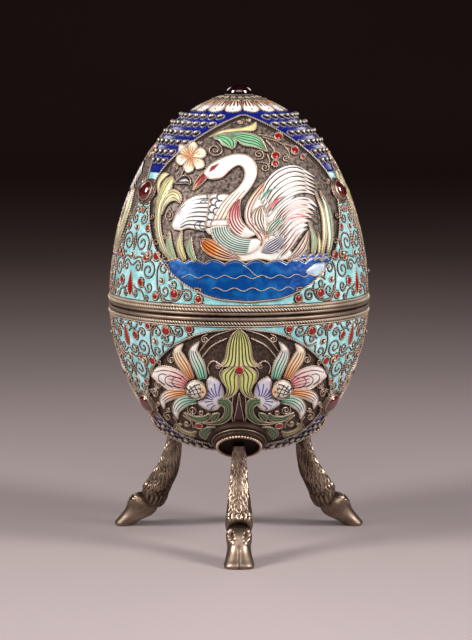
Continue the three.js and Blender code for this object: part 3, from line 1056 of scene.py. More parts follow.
class EGG_OT_scrollwork(bpy.types.Operator):
    """Twisted wire scrolls, red dots and grains on the turquoise ground"""

    bl_idname = "egg.scrollwork"
    bl_label = "Scrollwork"

    def execute(self, context):
        c, half = palette(), sizes().wire_half
        dots = enamel_material("Red enamel", cloud=0.15)
        for name, placed, lozenge_v, start in (
            ("lid", np.array, 7, LID_TURN), ("lower", mirrored, -6.4, 0),
        ):
            panel = spandrel(placed, half, c, lozenge_v)
            turns = spandrel_turns(start)
            panel.wires.make(f"{name}_scrollwork", silver("Rosy"), "silver", turns)
            panel.grains.make(f"{name}_scroll_grains", silver("Grain"), "silver", turns)
            panel.enamel.make(f"{name}_red_dots", dots, f"{name}_enamel", turns)
        return {"FINISHED"}


COLLAR_V = v_at_height(30)  # where the legs' collars are soldered on
COLLAR_ROOM = 8.2  # radius round a leg's collar that stays free of grains
GRAIN_ROOM = 1.35  # distance from a row's last grain to the frame
CROWN_ROOM = 4.0  # least half width without grains on the lid's middle lines
# v of each row of grains.
LID_BEAD_ROWS = [54.2, 51.3, 48.2, 45.1, 42.0, 39.4]
LOWER_BEAD_ROWS = [-33.4, -36.1, -38.8, -41.5, -44.2, -46.9, -49.6, -52.3, -55.0]


def bead_row(v, clear, step):
    """Places of evenly spaced grains at v on the edge between two panels. They stay off a half
    width round the panels' middle lines."""
    room = half_sector(v) - clear - GRAIN_ROOM
    count = int(2 * room / step) + 1 if room >= 0 else 0
    u = (np.arange(count) - (count - 1) / 2) * step
    return np.stack([u, np.full(count, v)], axis=-1)


class EGG_OT_grains(bpy.types.Operator):
    """Rows of silver grains in wire rings on the cobalt ground"""

    bl_idname = "egg.grains"
    bl_label = "Grains"

    def execute(self, context):
        size = sizes()
        lid, lower = [], []
        for v in LID_BEAD_ROWS:
            lid.append(bead_row(v, max(frame_width(LID_FRAME, v), CROWN_ROOM), size.bead_step))
        for v in LOWER_BEAD_ROWS:
            collar = math.sqrt(max(COLLAR_ROOM**2 - (v - COLLAR_V) ** 2, 0))
            lower.append(bead_row(v, max(frame_width(LOWER_FRAME, v), collar), size.bead_step))
        for name, rows, start, share in (("lid", lid, LID_TURN, 1.0), ("lower", lower, 0, 1.1)):
            balls, rings = Relief(), Relief()
            u, v = np.vstack(rows).T
            ball = size.bead * share
            beads(balls, u, v, ball, 0.15 + ball)
            ring(rings, u, v, ball + 0.26, 0.13)
            balls.make(f"{name}_grains", silver("Grain"), "silver", spandrel_turns(start))
            rings.make(f"{name}_grain_rings", silver("Ring"), "silver", spandrel_turns(start))
        return {"FINISHED"}


# ---- the lid's swan panels


FEATHER = (0.3, 0.8, 1, 0.85, 0.06)  # shares of a feather's half width along it


def feather_fan(panel, first, last, count, half, colours, **options):
    """Row of feathers: the middle line of each is a mix of the first and the last one's, and its
    half width is half at the widest. Colour lists are used in turn."""
    first, last = np.array(first, float), np.array(last, float)
    along = np.linspace(0, 1, len(first))
    widths = half * np.interp(along, np.linspace(0, 1, len(FEATHER)), FEATHER)
    for k, share in enumerate(np.linspace(0, 1, count)):
        middle = first * (1 - share) + last * share
        points = np.hstack([middle, widths[:, None]])
        panel.leaf(points, colours[k % len(colours)], **options)


def swan_neck(panel, c):
    """Head, beak, the S-shaped neck and the lined breast with its white band."""
    white, warm = c.white, c.cream * 0.5 + c.white * 0.5
    outer = [
        (-11, 36.9), (-9.3, 39), (-6.3, 40.9), (-2.8, 42.1), (0.4, 41.7), (2.3, 39.4), (2.5, 36.4),
        (1.2, 33.3), (-0.9, 30.6), (-2.9, 28), (-4.3, 25.6), (-5, 24.3)]
    inner = [
        (-10.7, 35.3), (-8.7, 34.9), (-6.2, 35.5), (-4.3, 37.5), (-2.2, 38.9), (-0.7, 37.9), (-0.7, 35.4),
        (-2.3, 32.8), (-4.7, 30.6), (-6.8, 28.2), (-8.3, 25.8), (-9.1, 24.2)]
    panel.cell(
        outer, inner, [white, white, white, warm], count=44, base=0.26, lines=3, line=(0.26, 0.06, 0.04),
        span=(0.72, 1), width=0.2)
    panel.leaf(
        [(-10.5, 36.2, 0.85), (-12.1, 34.5, 0.85), (-13.4, 32.9, 0.55), (-14.3, 31.7, 0.04)],
        [c.red, c.red, c.orange], crown=0.25, lines=1, line=c.ink, width=0.12)
    panel.leaf(
        [(-9.7, 36.7, 0.05), (-8.6, 37.9, 0.5), (-7, 39.2, 0.05)],
        c.red, edged=False, base=0.55, crown=0.12, count=10)
    panel.spot(-8.5, 38, 0.22, 0.78, c.ink, sides=8)
    panel.stroke([(-8.7, 35), (-6.3, 35.5), (-4.5, 37.2)], c.red, 0.16, 0.52)
    panel.cell([(-4.8, 24.3), (-5, 22.9)], [(-9.4, 24.1), (-9.7, 22.7)], white, count=6, crown=0.16)


def swan_wing(panel, c):
    """Raised left wing: long lavender feathers, and rows of scales where they meet the breast."""
    slate = (0.04, 0.042, 0.065)
    top = [(-9.6, 30.9), (-13.2, 30.5), (-16.4, 28.9), (-18.8, 26.2), (-20.2, 23.2)]
    low = [(-11, 21.4), (-13.4, 21.7), (-15.8, 22), (-18, 21.3), (-20.1, 21.7)]
    panel.cell(
        top, low, [c.white, c.white, c.lilac * 0.3 + c.white * 0.7], count=26, lines=7, line=slate,
        span=(0, 0.72), base=0.26, crown=0.2, width=0.24)
    panel.cell(
        [(-3.9, 30.7), (-7, 31.2), (-9.8, 30.8)], [(-9.6, 20.2), (-10.8, 21.4), (-11.2, 22.2)], c.white,
        count=14, base=0.2, crown=0.1)
    for column, (u, low_v, high_v) in enumerate([
        (-12, 22.6, 30.2), (-10.7, 21.8, 30.6), (-9.4, 21.4, 30.6), (-8.1, 25.4, 30.8),
    ]):
        for v in np.arange(low_v + 0.95 * (column % 2), high_v, 1.9):
            centre = np.array([u + 0.28 * (v - 26), v])
            arc = [(0.5, 0.95), (-0.5, 0.8), (-0.95, 0), (-0.5, -0.8), (0.5, -0.95)]
            panel.stroke(centre + np.array(arc), slate, 0.2, 0.46, count=9)


def swan_body(panel, c):
    """Belly, base and the coloured feather groups of the swan's side."""
    white, rose = c.white, c.pink
    fern = (0.04, 0.14, 0.11)
    panel.cell(
        [(-9.7, 22.6), (-9.3, 20.2), (-7.6, 17.8), (-4.6, 16.1), (-1.2, 15.6), (1.8, 16.6), (2.9, 18.2)],
        [(-5, 22.8), (-4.6, 21.5), (-3.4, 20.4), (-1.4, 19.7), (0.6, 19.5), (2, 19.6), (3, 19)],
        white, count=30, lines=7, line=fern, base=0.28, crown=0.28, span=(0.02, 0.74), width=0.24)
    panel.cell(
        [(-5.2, 16), (-1, 16.4), (2.6, 18.2), (5.6, 20.4), (8.6, 19), (10.4, 17.2), (11.4, 15.2)],
        [(-5.2, 14.8), (-1.6, 13.9), (2.6, 14.4), (6.4, 13.8), (9.6, 14.2), (10.6, 14), (11.4, 14.2)],
        [c.cream, white, white, white], base=0.14, crown=0.12, count=30)
    panel.leaf(
        [(-2, 29.7, 0.1), (-3.2, 27.6, 1.2), (-3.7, 24.9, 1.75), (-2.7, 22.5, 1.75), (-0.6, 21, 1.4),
         (1.8, 20.7, 0.1)],
        [c.red * 1.3, rose, rose * 0.35 + white * 0.65, white, white],
        lines=4, line=(0.2, 0.012, 0.02), width=0.22, span=(0, 0.72))
    panel.leaf(
        [(3.6, 28, 0.2), (2.9, 26.2, 1.5), (2.7, 24.2, 1.8), (3.4, 22.2, 1.4), (4.8, 20.6, 0.1)],
        [c.cream, white, white], lines=4, line=(0.12, 0.045, 0.025), width=0.24)
    panel.leaf(
        [(6.2, 35.4, 0.06), (3.2, 32.3, 0.6), (1, 29.3, 0.75), (-0.1, 26.4, 0.75), (0.1, 23.9, 0.75),
         (1.9, 21.6, 0.7), (3.3, 19.6, 0.7), (3, 17.6, 0.1)],
        [c.orange, c.cream, white, white, rose * 0.3 + white * 0.7],
        base=0.24, crown=0.2, count=30, lines=1, line=c.red)
    panel.leaf([(4.2, 19.6, 0.1), (4.9, 21.6, 0.6), (5, 23.5, 0.1)], [c.orange, c.cream], crown=0.16)
    panel.leaf(
        [(-12, 19.2, 0.5), (-10.6, 17.9, 1.75), (-7.8, 16.3, 1.8), (-5, 15.2, 1.2), (-2.2, 14.7, 0.1)],
        [c.orange, c.orange, c.cream, white], lines=4, line=(0.14, 0.02, 0.012), base=0.26, crown=0.28,
        width=0.26)


def swan_tail(panel, c):
    """White plumes that curl over to the right, some tinted, with dark lines between them."""
    white, rose, orange = c.white, c.pink, c.orange
    blush, peach = white * 0.65 + rose * 0.35, white * 0.65 + orange * 0.35
    tints = [white, [white, blush, white], [white, white, peach], white, [blush, white, blush]]
    for left, right, first, last, count, line in (
        ([(0.4, 26.5), (2.4, 31), (5.6, 35), (9.4, 37.6), (13.4, 38.1), (16, 37.2)],
         [(4, 20), (6.6, 24.5), (9.6, 27.8), (13, 30.4), (15.4, 31.4), (16.6, 31.4)],
         [(3, 29.4), (5.4, 34.2), (9, 37.1), (13.6, 37.8), (19.8, 35)],
         [(5, 25.2), (7.8, 28.6), (11.6, 30.9), (15.2, 31.6), (19.4, 30.2)], 6, (0.04, 0.012, 0.010)),
        ([(4.4, 22), (8.2, 26.8), (12.4, 29), (15.4, 28.8), (16.8, 28)],
         [(6, 14), (9.6, 14.6), (11.6, 18.2), (13.2, 20.6), (14.2, 21.6)],
         [(6, 23.4), (9.2, 27), (13, 29), (16.8, 28.8), (19.6, 27)],
         [(7.4, 14.4), (10.4, 17.2), (12.4, 19.8), (14, 21.2), (15.7, 21.6)], 7, (0.13, 0.016, 0.014)),
    ):
        panel.cell(left, right, white, edged=False, base=0.16, crown=0.06)
        feather_fan(
            panel, first, last, count, 0.92, tints, edged=False, base=0.26, crown=0.28, lines=1,
            line=line, span=(0.1, 0.8), width=0.24)
    for points, colours in (
        ([(8, 22.6, 0.1), (10.8, 24.6, 0.4), (13.6, 25, 0.45), (16.6, 24.6, 0.05)], [white, rose, c.red]),
        ([(5, 26.6, 0.1), (6.8, 28.6, 0.5), (9.7, 30.3, 0.05)], [rose, c.red]),
        ([(3.6, 29.8, 0.1), (5, 31.4, 0.3), (7.9, 32.7, 0.05)], [c.mint * 0.6, c.mint * 0.4]),
    ):
        panel.leaf(points, colours, edged=False, base=0.5, crown=0.15, count=16)
    panel.leaf(
        [(10, 14, 0.3), (12.8, 15.6, 1.1), (14.8, 18, 1.1), (16.2, 21.2, 0.05)],
        [white, white, c.cream, blush], lines=3, line=(0.13, 0.016, 0.014), base=0.34, crown=0.25)
    panel.leaf(
        [(4.8, 20.8, 0.15), (6, 22.2, 1.2), (7.4, 23.6, 1), (9, 25, 0.05)],
        [white, white, c.mint], lines=3, line=(0.02, 0.12, 0.08), base=0.5, crown=0.2)
    panel.leaf(
        [(3.2, 16.2, 0.2), (5.4, 17.2, 1.6), (7.6, 18.6, 1.4), (9.2, 20.4, 0.05)],
        white, lines=5, line=(0.04, 0.03, 0.10), base=0.5, crown=0.2, edged=False)


def swan_plants(panel, c):
    """Reeds on both sides, the leaf over the swan, blossom, bud and berries, and wire curls."""
    cream = c.cream
    lime, green = c.lime * 0.65 + cream * 0.35, c.green * 0.75 + c.white * 0.2
    reeds = [
        ([(-20.4, 13.4, 0.3), (-23.4, 17.4, 0.7), (-24.9, 22.4, 0.85), (-24.7, 27.2, 1),
          (-23.3, 30.8, 1.5), (-21.7, 33.4, 1.5), (-20.2, 34.6, 0.8), (-19.4, 33.6, 0.05)],
         [green * 0.6 + lime * 0.4, lime, lime], 3),
        ([(-24, 24.8, 0.2), (-22.8, 28.2, 0.9), (-20.6, 30.3, 1.5), (-18.7, 29.9, 1.3),
          (-17.9, 28.2, 0.05)], [lime, cream * 0.5 + lime * 0.5], 3),
        ([(-25, 30.4, 0.2), (-25.3, 33.2, 0.5), (-23.6, 35.4, 0.7), (-21.6, 36, 0.05)], lime, 0),
        ([(-19.4, 13.8, 0.5), (-21.1, 17.2, 0.95), (-21, 21, 0.05)], green, 1),
        ([(-16.6, 13.8, 0.5), (-18.1, 17.4, 0.85), (-17.4, 21.6, 0.05)], [lime * 0.9, lime], 1),
        ([(-13.8, 13.6, 0.5), (-15.3, 16.8, 0.85), (-14.8, 20, 0.05)], green, 1),
        ([(22.4, 14.8, 0.4), (23.7, 19.6, 0.95), (23.3, 25.8, 0.95), (20.8, 31.4, 0.05)],
         [green, green * 1.1], 1),
        ([(20.3, 14.8, 0.3), (21.6, 19.8, 0.75), (21.5, 25.2, 0.75), (19, 31.2, 0.05)],
         [lime, cream * 0.5 + lime * 0.5], 1),
        ([(17.4, 15.2, 0.5), (17.9, 18.8, 0.85), (16.3, 23.4, 0.05)], [green * 1.2, green], 1),
        ([(19.2, 15.2, 0.2), (19.6, 17.6, 0.4), (19.2, 20.6, 0.05)], lime, 0),
        ([(-9.4, 47.2, 0.05), (-5.4, 49.1, 0.4), (-0.6, 49.9, 0.5), (2.2, 50.5, 0.9), (3.2, 52.6, 0.05)],
         lime, 0)]
    for points, colours, lines in reeds:
        panel.leaf(points, colours, base=0.28, lines=lines, line=(0.10, 0.09, 0.03), width=0.14)
    leaf = np.array([0.22, 0.50, 0.27])
    panel.leaf(
        [(-8.3, 46.9, 0.1), (-6.4, 47.2, 1.2), (-4.4, 46.1, 2.1), (-3.7, 44.6, 1.2), (-3.7, 43.6, 0.05)],
        leaf, lines=3, line=c.olive * 0.3, width=0.16)
    panel.cell(
        [(-5.6, 48.2), (-2, 48.9), (1.5, 48.5), (4.2, 46.7), (5.7, 42.6)],
        [(-3.6, 47), (-1.9, 46.2), (-0.6, 44.8), (2.2, 44.2), (5.3, 42.9)],
        leaf, lines=4, line=c.olive * 0.3, width=0.18)
    for angle in range(20, 380, 60):
        a = math.radians(angle)
        reach = np.array([0.3, 2, 3.7, 4.8])
        points = np.stack(
            [-14.9 + reach * math.cos(a), 41.2 + reach * math.sin(a), [0.15, 1.05, 1.55, 0.2]], -1)
        panel.leaf(
            points, [c.orange, cream, c.white], lines=2, line=(0.30, 0.09, 0.02), span=(0, 0.55),
            crown=0.25, count=12, width=0.13)
    panel.spot(-14.9, 41.2, 0.5, 0.75, c.orange)
    panel.leaf(
        [(-19.8, 33.5, 0.06), (-17.6, 34.4, 0.9), (-15.9, 34.6, 1), (-14.9, 33.2, 0.06)],
        [c.lilac * 0.2, c.ink, c.garnet * 0.3], base=0.28, count=14)
    for u, v, radius in (
        (9.1, 47.4, 0.95), (13.7, 42.9, 0.95), (7.8, 41.5, 0.9), (7.5, 39.2, 0.65), (16.1, 40.9, 0.45),
    ):
        panel.dot(u, v, radius + 0.15, c.red, rise=0.65)
    for curl in (
        (-8, 43.3, 2.1, 60, 1.8, 1, 0.3), (3.3, 42, 1.5, 250, 1.7, -1, 0.5),
        (4.7, 38.2, 1.3, 100, 1.6, 1, 0.6), (10.6, 40.7, 1.1, 60, 1.6, 1, 0.5),
        (-1, 52.6, 0.7, 0, 1.4, 1, 0.3), (1.4, 53.4, 0.55, 180, 1.4, -1, 0.3),
        (-21.4, 25, 1.5, 60, 1.7, 1, 0.5), (-22.6, 19.5, 0.7, 200, 1.4, -1, 0.3),
        (17, 41.4, 0.5, 20, 1.3, 1, 0.4), (-19.5, 38.2, 0.8, 300, 1.5, -1, 0.4),
        (24.9, 33.4, 0.9, 140, 1.5, 1, 0.4), (-12.2, 45.4, 0.5, 0, 1.3, 1, 0.4),
    ):
        panel.curl(*curl)
    for points in (
        [(3.5, 48.2), (6.2, 47.6), (8.4, 46.8)], [(5.4, 46.4), (7, 44.2), (7.8, 42.5)],
        [(4.6, 47.4), (9.4, 45.4), (11.8, 42.6), (11.4, 40.6)], [(9.6, 45.2), (12.2, 44.4), (13.4, 43.7)],
        [(5.6, 42), (6, 40.2), (5.6, 38.4)], [(-17.8, 35.4), (-17, 37), (-15.6, 38.4)],
    ):
        panel.line(points, 0.12, 0.45)


def water_top(u):
    """Height of the water's edge, with rounded crests and sharp troughs: 13.1 plus
    1.1 |sin(pi (u + 0.9) / 5.3)|."""
    return 13.1 + 1.1 * np.abs(np.sin(math.pi * (u + 0.9) / 5.3))


def water(c):
    """Pool under the swan in clear blue over bright silver, the opaque wavelets and wires, and a pale
    patch at the right that paints a reflection in the glaze. Two wires wave below the edge with
    a height of 0.4 and a length of 4.6."""
    pool, panel = Relief(), Panel()
    blue, pale, deep = c.water, np.array([0.5, 0.64, 0.76]), c.cobalt
    outline = frame_half(LID_FRAME)
    foot = outline[outline[:, 1] < 20]
    foot = foot[np.argsort(foot[:, 0])]
    half = frame_width(LID_FRAME, 13.6)
    u = np.linspace(-half, half, 110)
    bed = np.interp(np.abs(u), *foot.T)
    surface = np.maximum(water_top(u), bed + 0.02)
    patch(pool, np.stack([u, surface], -1), np.stack([u, bed], -1), blue, crown=0.0, rim=0.0, columns=12)
    for middle, low, high in ((9.9, -17.6, 17.6), (6.8, -9.4, 11.6)):
        x = np.linspace(low, high, 130)
        path = np.stack([x, middle + 0.4 * np.sin(2 * math.pi * x / 4.6 + middle)], -1)
        wire(panel.wires, path, 0.1, 0.48)
    wire(panel.wires, spline([(-1.6, 12.9), (0, 11.8), (1.2, 10.6), (2.6, 9.8)], 12), 0.1, 0.48)
    x = np.linspace(-half, half, 150)
    wire(panel.wires, np.stack([x, water_top(x)], -1), 0.12, 0.55)
    # Pale patch at the pool's right: a painted reflection of a softbox in the glossy blue.
    panel.cell(
        [(15.1, 11), (17.8, 12.5), (21.3, 12.8)], [(15.4, 10.3), (18.2, 9.5), (20.9, 10.9)],
        [blue * 0.4 + pale * 0.6, pale, pale], base=0.32, crown=0.1)
    for k in range(5):
        x = 12.2 + 2.3 * k
        panel.leaf(
            [(x - 1.4, 13.8, 0.05), (x, 14.9 - 0.1 * k, 0.5), (x + 1.5, 14, 0.05)],
            [deep * 0.5, blue * 1.6, deep * 0.6], base=0.34, crown=0.2, count=12)
        panel.stroke(
            [(x - 0.9, 13.6), (x + 0.2, 14.2), (x + 1.2, 13.4)], c.white * 0.8, 0.12, 0.58, count=8)
    return pool, panel


class EGG_OT_swan_panels(bpy.types.Operator):
    """Swan on the water between reeds, in three panels round the lid"""

    bl_idname = "egg.swan_panels"
    bl_label = "Swan panels"

    def execute(self, context):
        c = palette()
        turns = panel_turns(LID_TURN)
        panel = Panel()
        for part in (swan_plants, swan_tail, swan_wing, swan_body, swan_neck):
            part(panel, c)
        enamel = enamel_material("Opaque enamel")
        panel.enamel.make("swan_enamel", enamel, "lid_enamel", turns)
        panel.wires.make("swan_wires", silver("Picture"), "silver", turns)
        pool, shore = water(c)
        pool.make("water_enamel", water_material("Water enamel"), "lid_enamel", turns)
        shore.enamel.make("wavelets", enamel, "lid_enamel", turns)
        shore.wires.make("water_wires", silver("Filigree"), "silver", turns)
        return {"FINISHED"}


# ---- the lower flower panels


def lily(panel, c):
    """Yellow-green lily hanging on the panel's middle line, a red dot, and the dark drop below."""
    lime, dark = c.lime, (0.045, 0.032, 0.012)
    pale = lime * 0.7 + c.cream * 0.3
    bell = [(0.1, -3.1), (1.7, -4.5), (2.7, -6.5), (3.1, -8.3), (3.4, -10.4), (4.1, -12), (5.5, -13)]
    panel.cell(flip(bell, -1), bell, [lime, lime, pale], lines=7, line=dark, width=0.24)
    for side in (1, -1):
        panel.side = side
        panel.cell(
            [(0.1, -13), (0.1, -15.6), (0.1, -17.6), (0.3, -19.6), (1.8, -21.5), (4, -22.6)],
            [(1.6, -12.9), (4.4, -14.6), (4.2, -17), (3.2, -19), (3.2, -20.8), (4.2, -22.5)],
            [lime, lime, pale], lines=3, line=dark, width=0.22)
    panel.side = 1
    panel.dot(0, -14, 1.1, c.red, rise=0.85)
    panel.leaf(
        [(0, -20.4, 0.05), (0, -24.5, 0.5), (0, -28, 1.1), (0, -29.6, 1.2), (0, -30.7, 0.5)],
        [c.garnet * 0.3, c.garnet * 0.6], base=0.28)


def flower_head(panel, c):
    """Side flower: chequered ball with an eye, and mint, orange and rosy petals outwards."""
    white, cream, mint, orange, rose = c.white, c.cream, c.mint, c.orange, c.pink
    cool, warm = (0.008, 0.05, 0.03), (0.16, 0.025, 0.008)
    for points, colours, lines, line in (
        ([(9.3, -16.6, 1.1), (10.2, -13.4, 1.6), (11.4, -10.8, 1.5), (11.7, -8.8, 1), (10.2, -6.6, 0.05)],
         [mint, mint * 0.5 + white * 0.5, white, white], 3, cool),
        ([(12.4, -16.8, 0.9), (14.1, -13.6, 1.5), (15.7, -11.2, 1.65), (16.2, -9.3, 1.2),
          (14.6, -7.3, 0.05)], [orange, orange * 0.4 + cream * 0.6, cream, white], 3, warm),
        ([(11.2, -23.2, 0.8), (14, -23.4, 1.6), (16.2, -24.9, 1.8), (17.4, -27.2, 1.25),
          (17.1, -30.2, 0.05)], [mint, mint * 0.5 + white * 0.5, white, white], 3, cool),
        ([(14, -20.9, 0.8), (17.4, -21.6, 1.35), (20.2, -22.8, 1.6), (21.7, -24.4, 1.2),
          (21.5, -27.2, 0.05)], [orange * 1.2, orange * 0.6 + cream * 0.5, white, white], 3, warm),
    ):
        panel.leaf(points, colours, lines=lines, line=line, width=0.17, span=(0, 0.72))
    panel.cell(
        [(13.4, -17.2), (15.5, -15), (19.7, -13.8), (23.2, -14.5), (25.2, -17)],
        [(14.4, -19.4), (16, -20.3), (20, -20.3), (22.6, -18.7), (25.2, -17.2)],
        [rose, rose * 0.3 + white * 0.7, white, white], lines=5, line=(0.30, 0.02, 0.04), span=(0, 0.42),
        crown=0.35, width=0.18)
    for u, v in ((17.2, -17.3), (19.4, -17.1), (21.6, -16.7)):
        panel.stroke(
            [(u - 1.2, v - 2.4), (u + 0.5, v - 1.5), (u + 0.7, v - 0.1), (u - 0.5, v + 0.7),
             (u - 2, v + 0.5)],
            (0.05, 0.008, 0.012), 0.2, 0.74, count=14)
    panel.stroke(
        [(14.6, -16.4), (17.4, -15.2), (20.6, -15), (23.6, -15.8)],
        (0.22, 0.012, 0.03), 0.17, 0.66)
    panel.spot(11.2, -20, 2.75, 0.85, white * 0.7 + cream * 0.3, sides=20)
    wire(panel.wires, circle(panel.side * 11.2, -20, 2.8, 30), 0.13, 0.6, closed=True)


def flower_details(panel, c):
    """The ball's slanting chequer, its eye, and the lilac fan."""
    white, ink = c.white, c.ink
    for k in (-1.5, -0.3, 0.9, 2.1):
        panel.stroke(
            [(11.9 + k, -18.2 - abs(k) / 2), (11.0 + k, -20), (10.4 + k, -21.9 + abs(k) / 2)],
            ink, 0.2, 0.98, count=10)
        panel.stroke(
            [(9.8, -19.5 - k), (11.2, -19.9 - k), (13.2, -20.9 - k / 2)],
            ink, 0.2, 0.98, count=10)
    panel.leaf(
        [(9.8, -17.8, 0.2), (9.1, -19, 0.6), (9, -20.4, 0.75), (9.4, -21.8, 0.2)],
        [c.cream, c.orange * 0.5 + c.cream * 0.5, c.cream], base=0.9, crown=0.1, count=14, edged=False)
    panel.spot(9.2, -20.1, 0.4, 1.2, ink, sides=8)
    panel.cell(
        [(7.4, -15.9), (5.2, -17.1), (4.1, -19.4), (3.9, -22), (5.2, -25.2), (7.2, -26.1), (9, -25.5),
         (10.7, -24.2)],
        [(8.4, -17.2), (8.3, -17.8), (8.2, -18.8), (8.2, -20.2), (8.5, -21.6), (9, -22.6), (9.8, -23.2),
         (10.8, -23.5)],
        [c.lilac * 0.2 + white * 0.8, c.lilac * 0.5 + white * 0.5, white, c.lilac * 0.6 + white * 0.3],
        count=30, base=0.28)
    root = np.array([5.2, -22.9])
    for angle in np.radians([96, 78, 62, 46, 30, 12, -8, -30, -54]):
        ray = np.array([math.cos(angle), math.sin(angle)])
        far = 5.2 if angle > 1.2 else 4.2 if angle > 0.4 else 3.6
        panel.stroke(
            [root + ray * 1.5, root + ray * 2.6 + (0.2, 0.1), root + ray * far],
            (0.05, 0.04, 0.28), 0.2, 0.66, count=8)


def lower_leaves(panel, c):
    """Curled green leaves beside the collar, a yellow-green curl, red dots and wire curls."""
    green, lime = np.array([0.095, 0.175, 0.075]), c.lime * 0.85
    dark = c.olive * 0.3
    for points, colours in (
        ([(5.4, -23, 1.2), (3.5, -23.3, 1.25), (2.6, -25.4, 1), (3, -27.8, 1), (4.4, -29.6, 0.8),
          (6.6, -30.6, 0.5), (9.8, -30.6, 0.05)], [green, green * 1.2, green]),
        ([(5, -26.8, 0.1), (6.2, -28.1, 0.95), (6.7, -29.4, 0.5), (6.4, -30.2, 0.05)],
         [green * 1.2, green]),
        ([(7.6, -27.2, 0.2), (8.8, -28.9, 1), (11.6, -29.3, 0.9), (15, -27.4, 0.05)],
         [green, green * 1.3]),
        ([(5.4, -32.2, 0.1), (7.6, -32.9, 0.9), (9.1, -34.6, 1.4), (9.4, -36.4, 1), (9, -38.2, 0.1)],
         [green, green * 0.8]),
        ([(11.4, -34.4, 0.1), (13.2, -35.9, 0.75), (15.4, -35.4, 0.85), (17.2, -33.9, 0.75),
          (17.3, -32.5, 0.6), (15.8, -32, 0.05)], [lime * 0.8, lime, lime * 0.8]),
        ([(12, -36.4, 0.2), (13.4, -37.8, 0.7), (13.4, -39.6, 0.05)], [green, green * 0.8]),
    ):
        panel.leaf(points, colours, base=0.28, lines=2, line=dark, width=0.17)
    panel.dot(10.7, -31.9, 0.95, c.red, rise=0.6)
    panel.dot(9.9, -27, 0.4, c.red, rise=0.6)
    for curl in (
        (8.7, -5.9, 1, 90, 1.6, 1, 0.8), (18.2, -11.8, 1.1, 60, 1.6, 1, 0.5),
        (23.2, -19.5, 1.2, 200, 1.7, -1, 0.5), (24.5, -22.3, 1.5, 20, 1.7, -1, 0.5),
        (12.4, -26.4, 1.5, 30, 1.8, 1, 0.5), (20.8, -29.8, 1.6, 90, 1.7, 1, 0.6),
        (14.4, -31.6, 1, 200, 1.6, -1, 0.5), (5.4, -13, 0.8, 90, 1.4, -1, 0.5),
        (20, -27.2, 0.8, 200, 1.5, -1, 0.4), (16.6, -37.6, 0.9, 30, 1.4, 1, 0.4),
        (23.9, -26, 0.9, 150, 1.5, 1, 0.4), (18.6, -34.6, 0.9, 60, 1.5, 1, 0.4),
    ):
        panel.curl(*curl)
    for points in (
        [(0.9, -3.1), (6.7, -5.2), (10.2, -9.2)], [(3, -5.5), (6.7, -7.5), (9.5, -10.7)],
        [(4.8, -12.4), (6.6, -11.6), (8, -13.2), (7.6, -15.2)],
        [(18.6, -29.4), (17.6, -31.2), (19, -33.4)], [(15.2, -28.4), (12.8, -30.6), (12.4, -33)],
        [(1.5, -20.8), (1.9, -26.4), (1.5, -30.6)], [(3.8, -12.9), (4.9, -15), (4.2, -17.6)],
    ):
        panel.line(points)


class EGG_OT_flower_panels(bpy.types.Operator):
    """Lily between two many-coloured flowers, in three panels round the lower half"""

    bl_idname = "egg.flower_panels"
    bl_label = "Flower panels"

    def execute(self, context):
        c = palette()
        panel = Panel()
        lily(panel, c)
        for side in (1, -1):
            panel.side = side
            flower_head(panel, c)
            flower_details(panel, c)
            lower_leaves(panel, c)
        panel.enamel.make(
            "flower_enamel", enamel_material("Opaque enamel"), "lower_enamel", panel_turns(0))
        panel.wires.make("flower_wires", silver("Picture"), "silver", panel_turns(0))
        return {"FINISHED"}


# ---- rims, stones and collars


def rope_ring(radius, z, thickness, pitch, sides=8):
    """Closed rope about +Z, a circle of sections: its grid and its wear."""
    rows = 4 * int(round(2 * math.pi * radius / pitch))
    b = around(rows)[:, None]
    a, share, wear = rope_section(rows, sides)
    reach = thickness * share
    rho = radius - reach * np.cos(a)
    return np.stack([rho * np.sin(b), -rho * np.cos(b), z + reach * np.sin(a)], axis=-1), wear


# Outer faces of the two bands: radius from the rim's, height from the seam, and wear.
LID_BAND = [
    (-0.9, 0, 0), (-0.9, 0.16, 0), (-0.35, 0.2, 0.2), (-0.08, 0.36, 0.6), (0, 0.62, 0.8),
    (-0.08, 0.88, 0.6), (-0.4, 1.05, 0.05), (-0.6, 1.15, 0), (-0.6, 2, 0), (-0.45, 2.1, 0.2),
    (-0.5, 2.5, 0.2), (-0.9, 2.6, 0.1)]
LOWER_BAND = [
    (-0.6, -1.35, 0), (-0.4, -1.25, 0.05), (-0.1, -1.1, 0.6), (0, -0.8, 0.8), (-0.04, -0.45, 0.7),
    (-0.35, -0.24, 0.2), (-0.9, -0.18, 0), (-0.9, 0, 0)]
LIP_GAP = 0.4  # between the locating lip and the lid's wall
LIP_WALL = 0.8


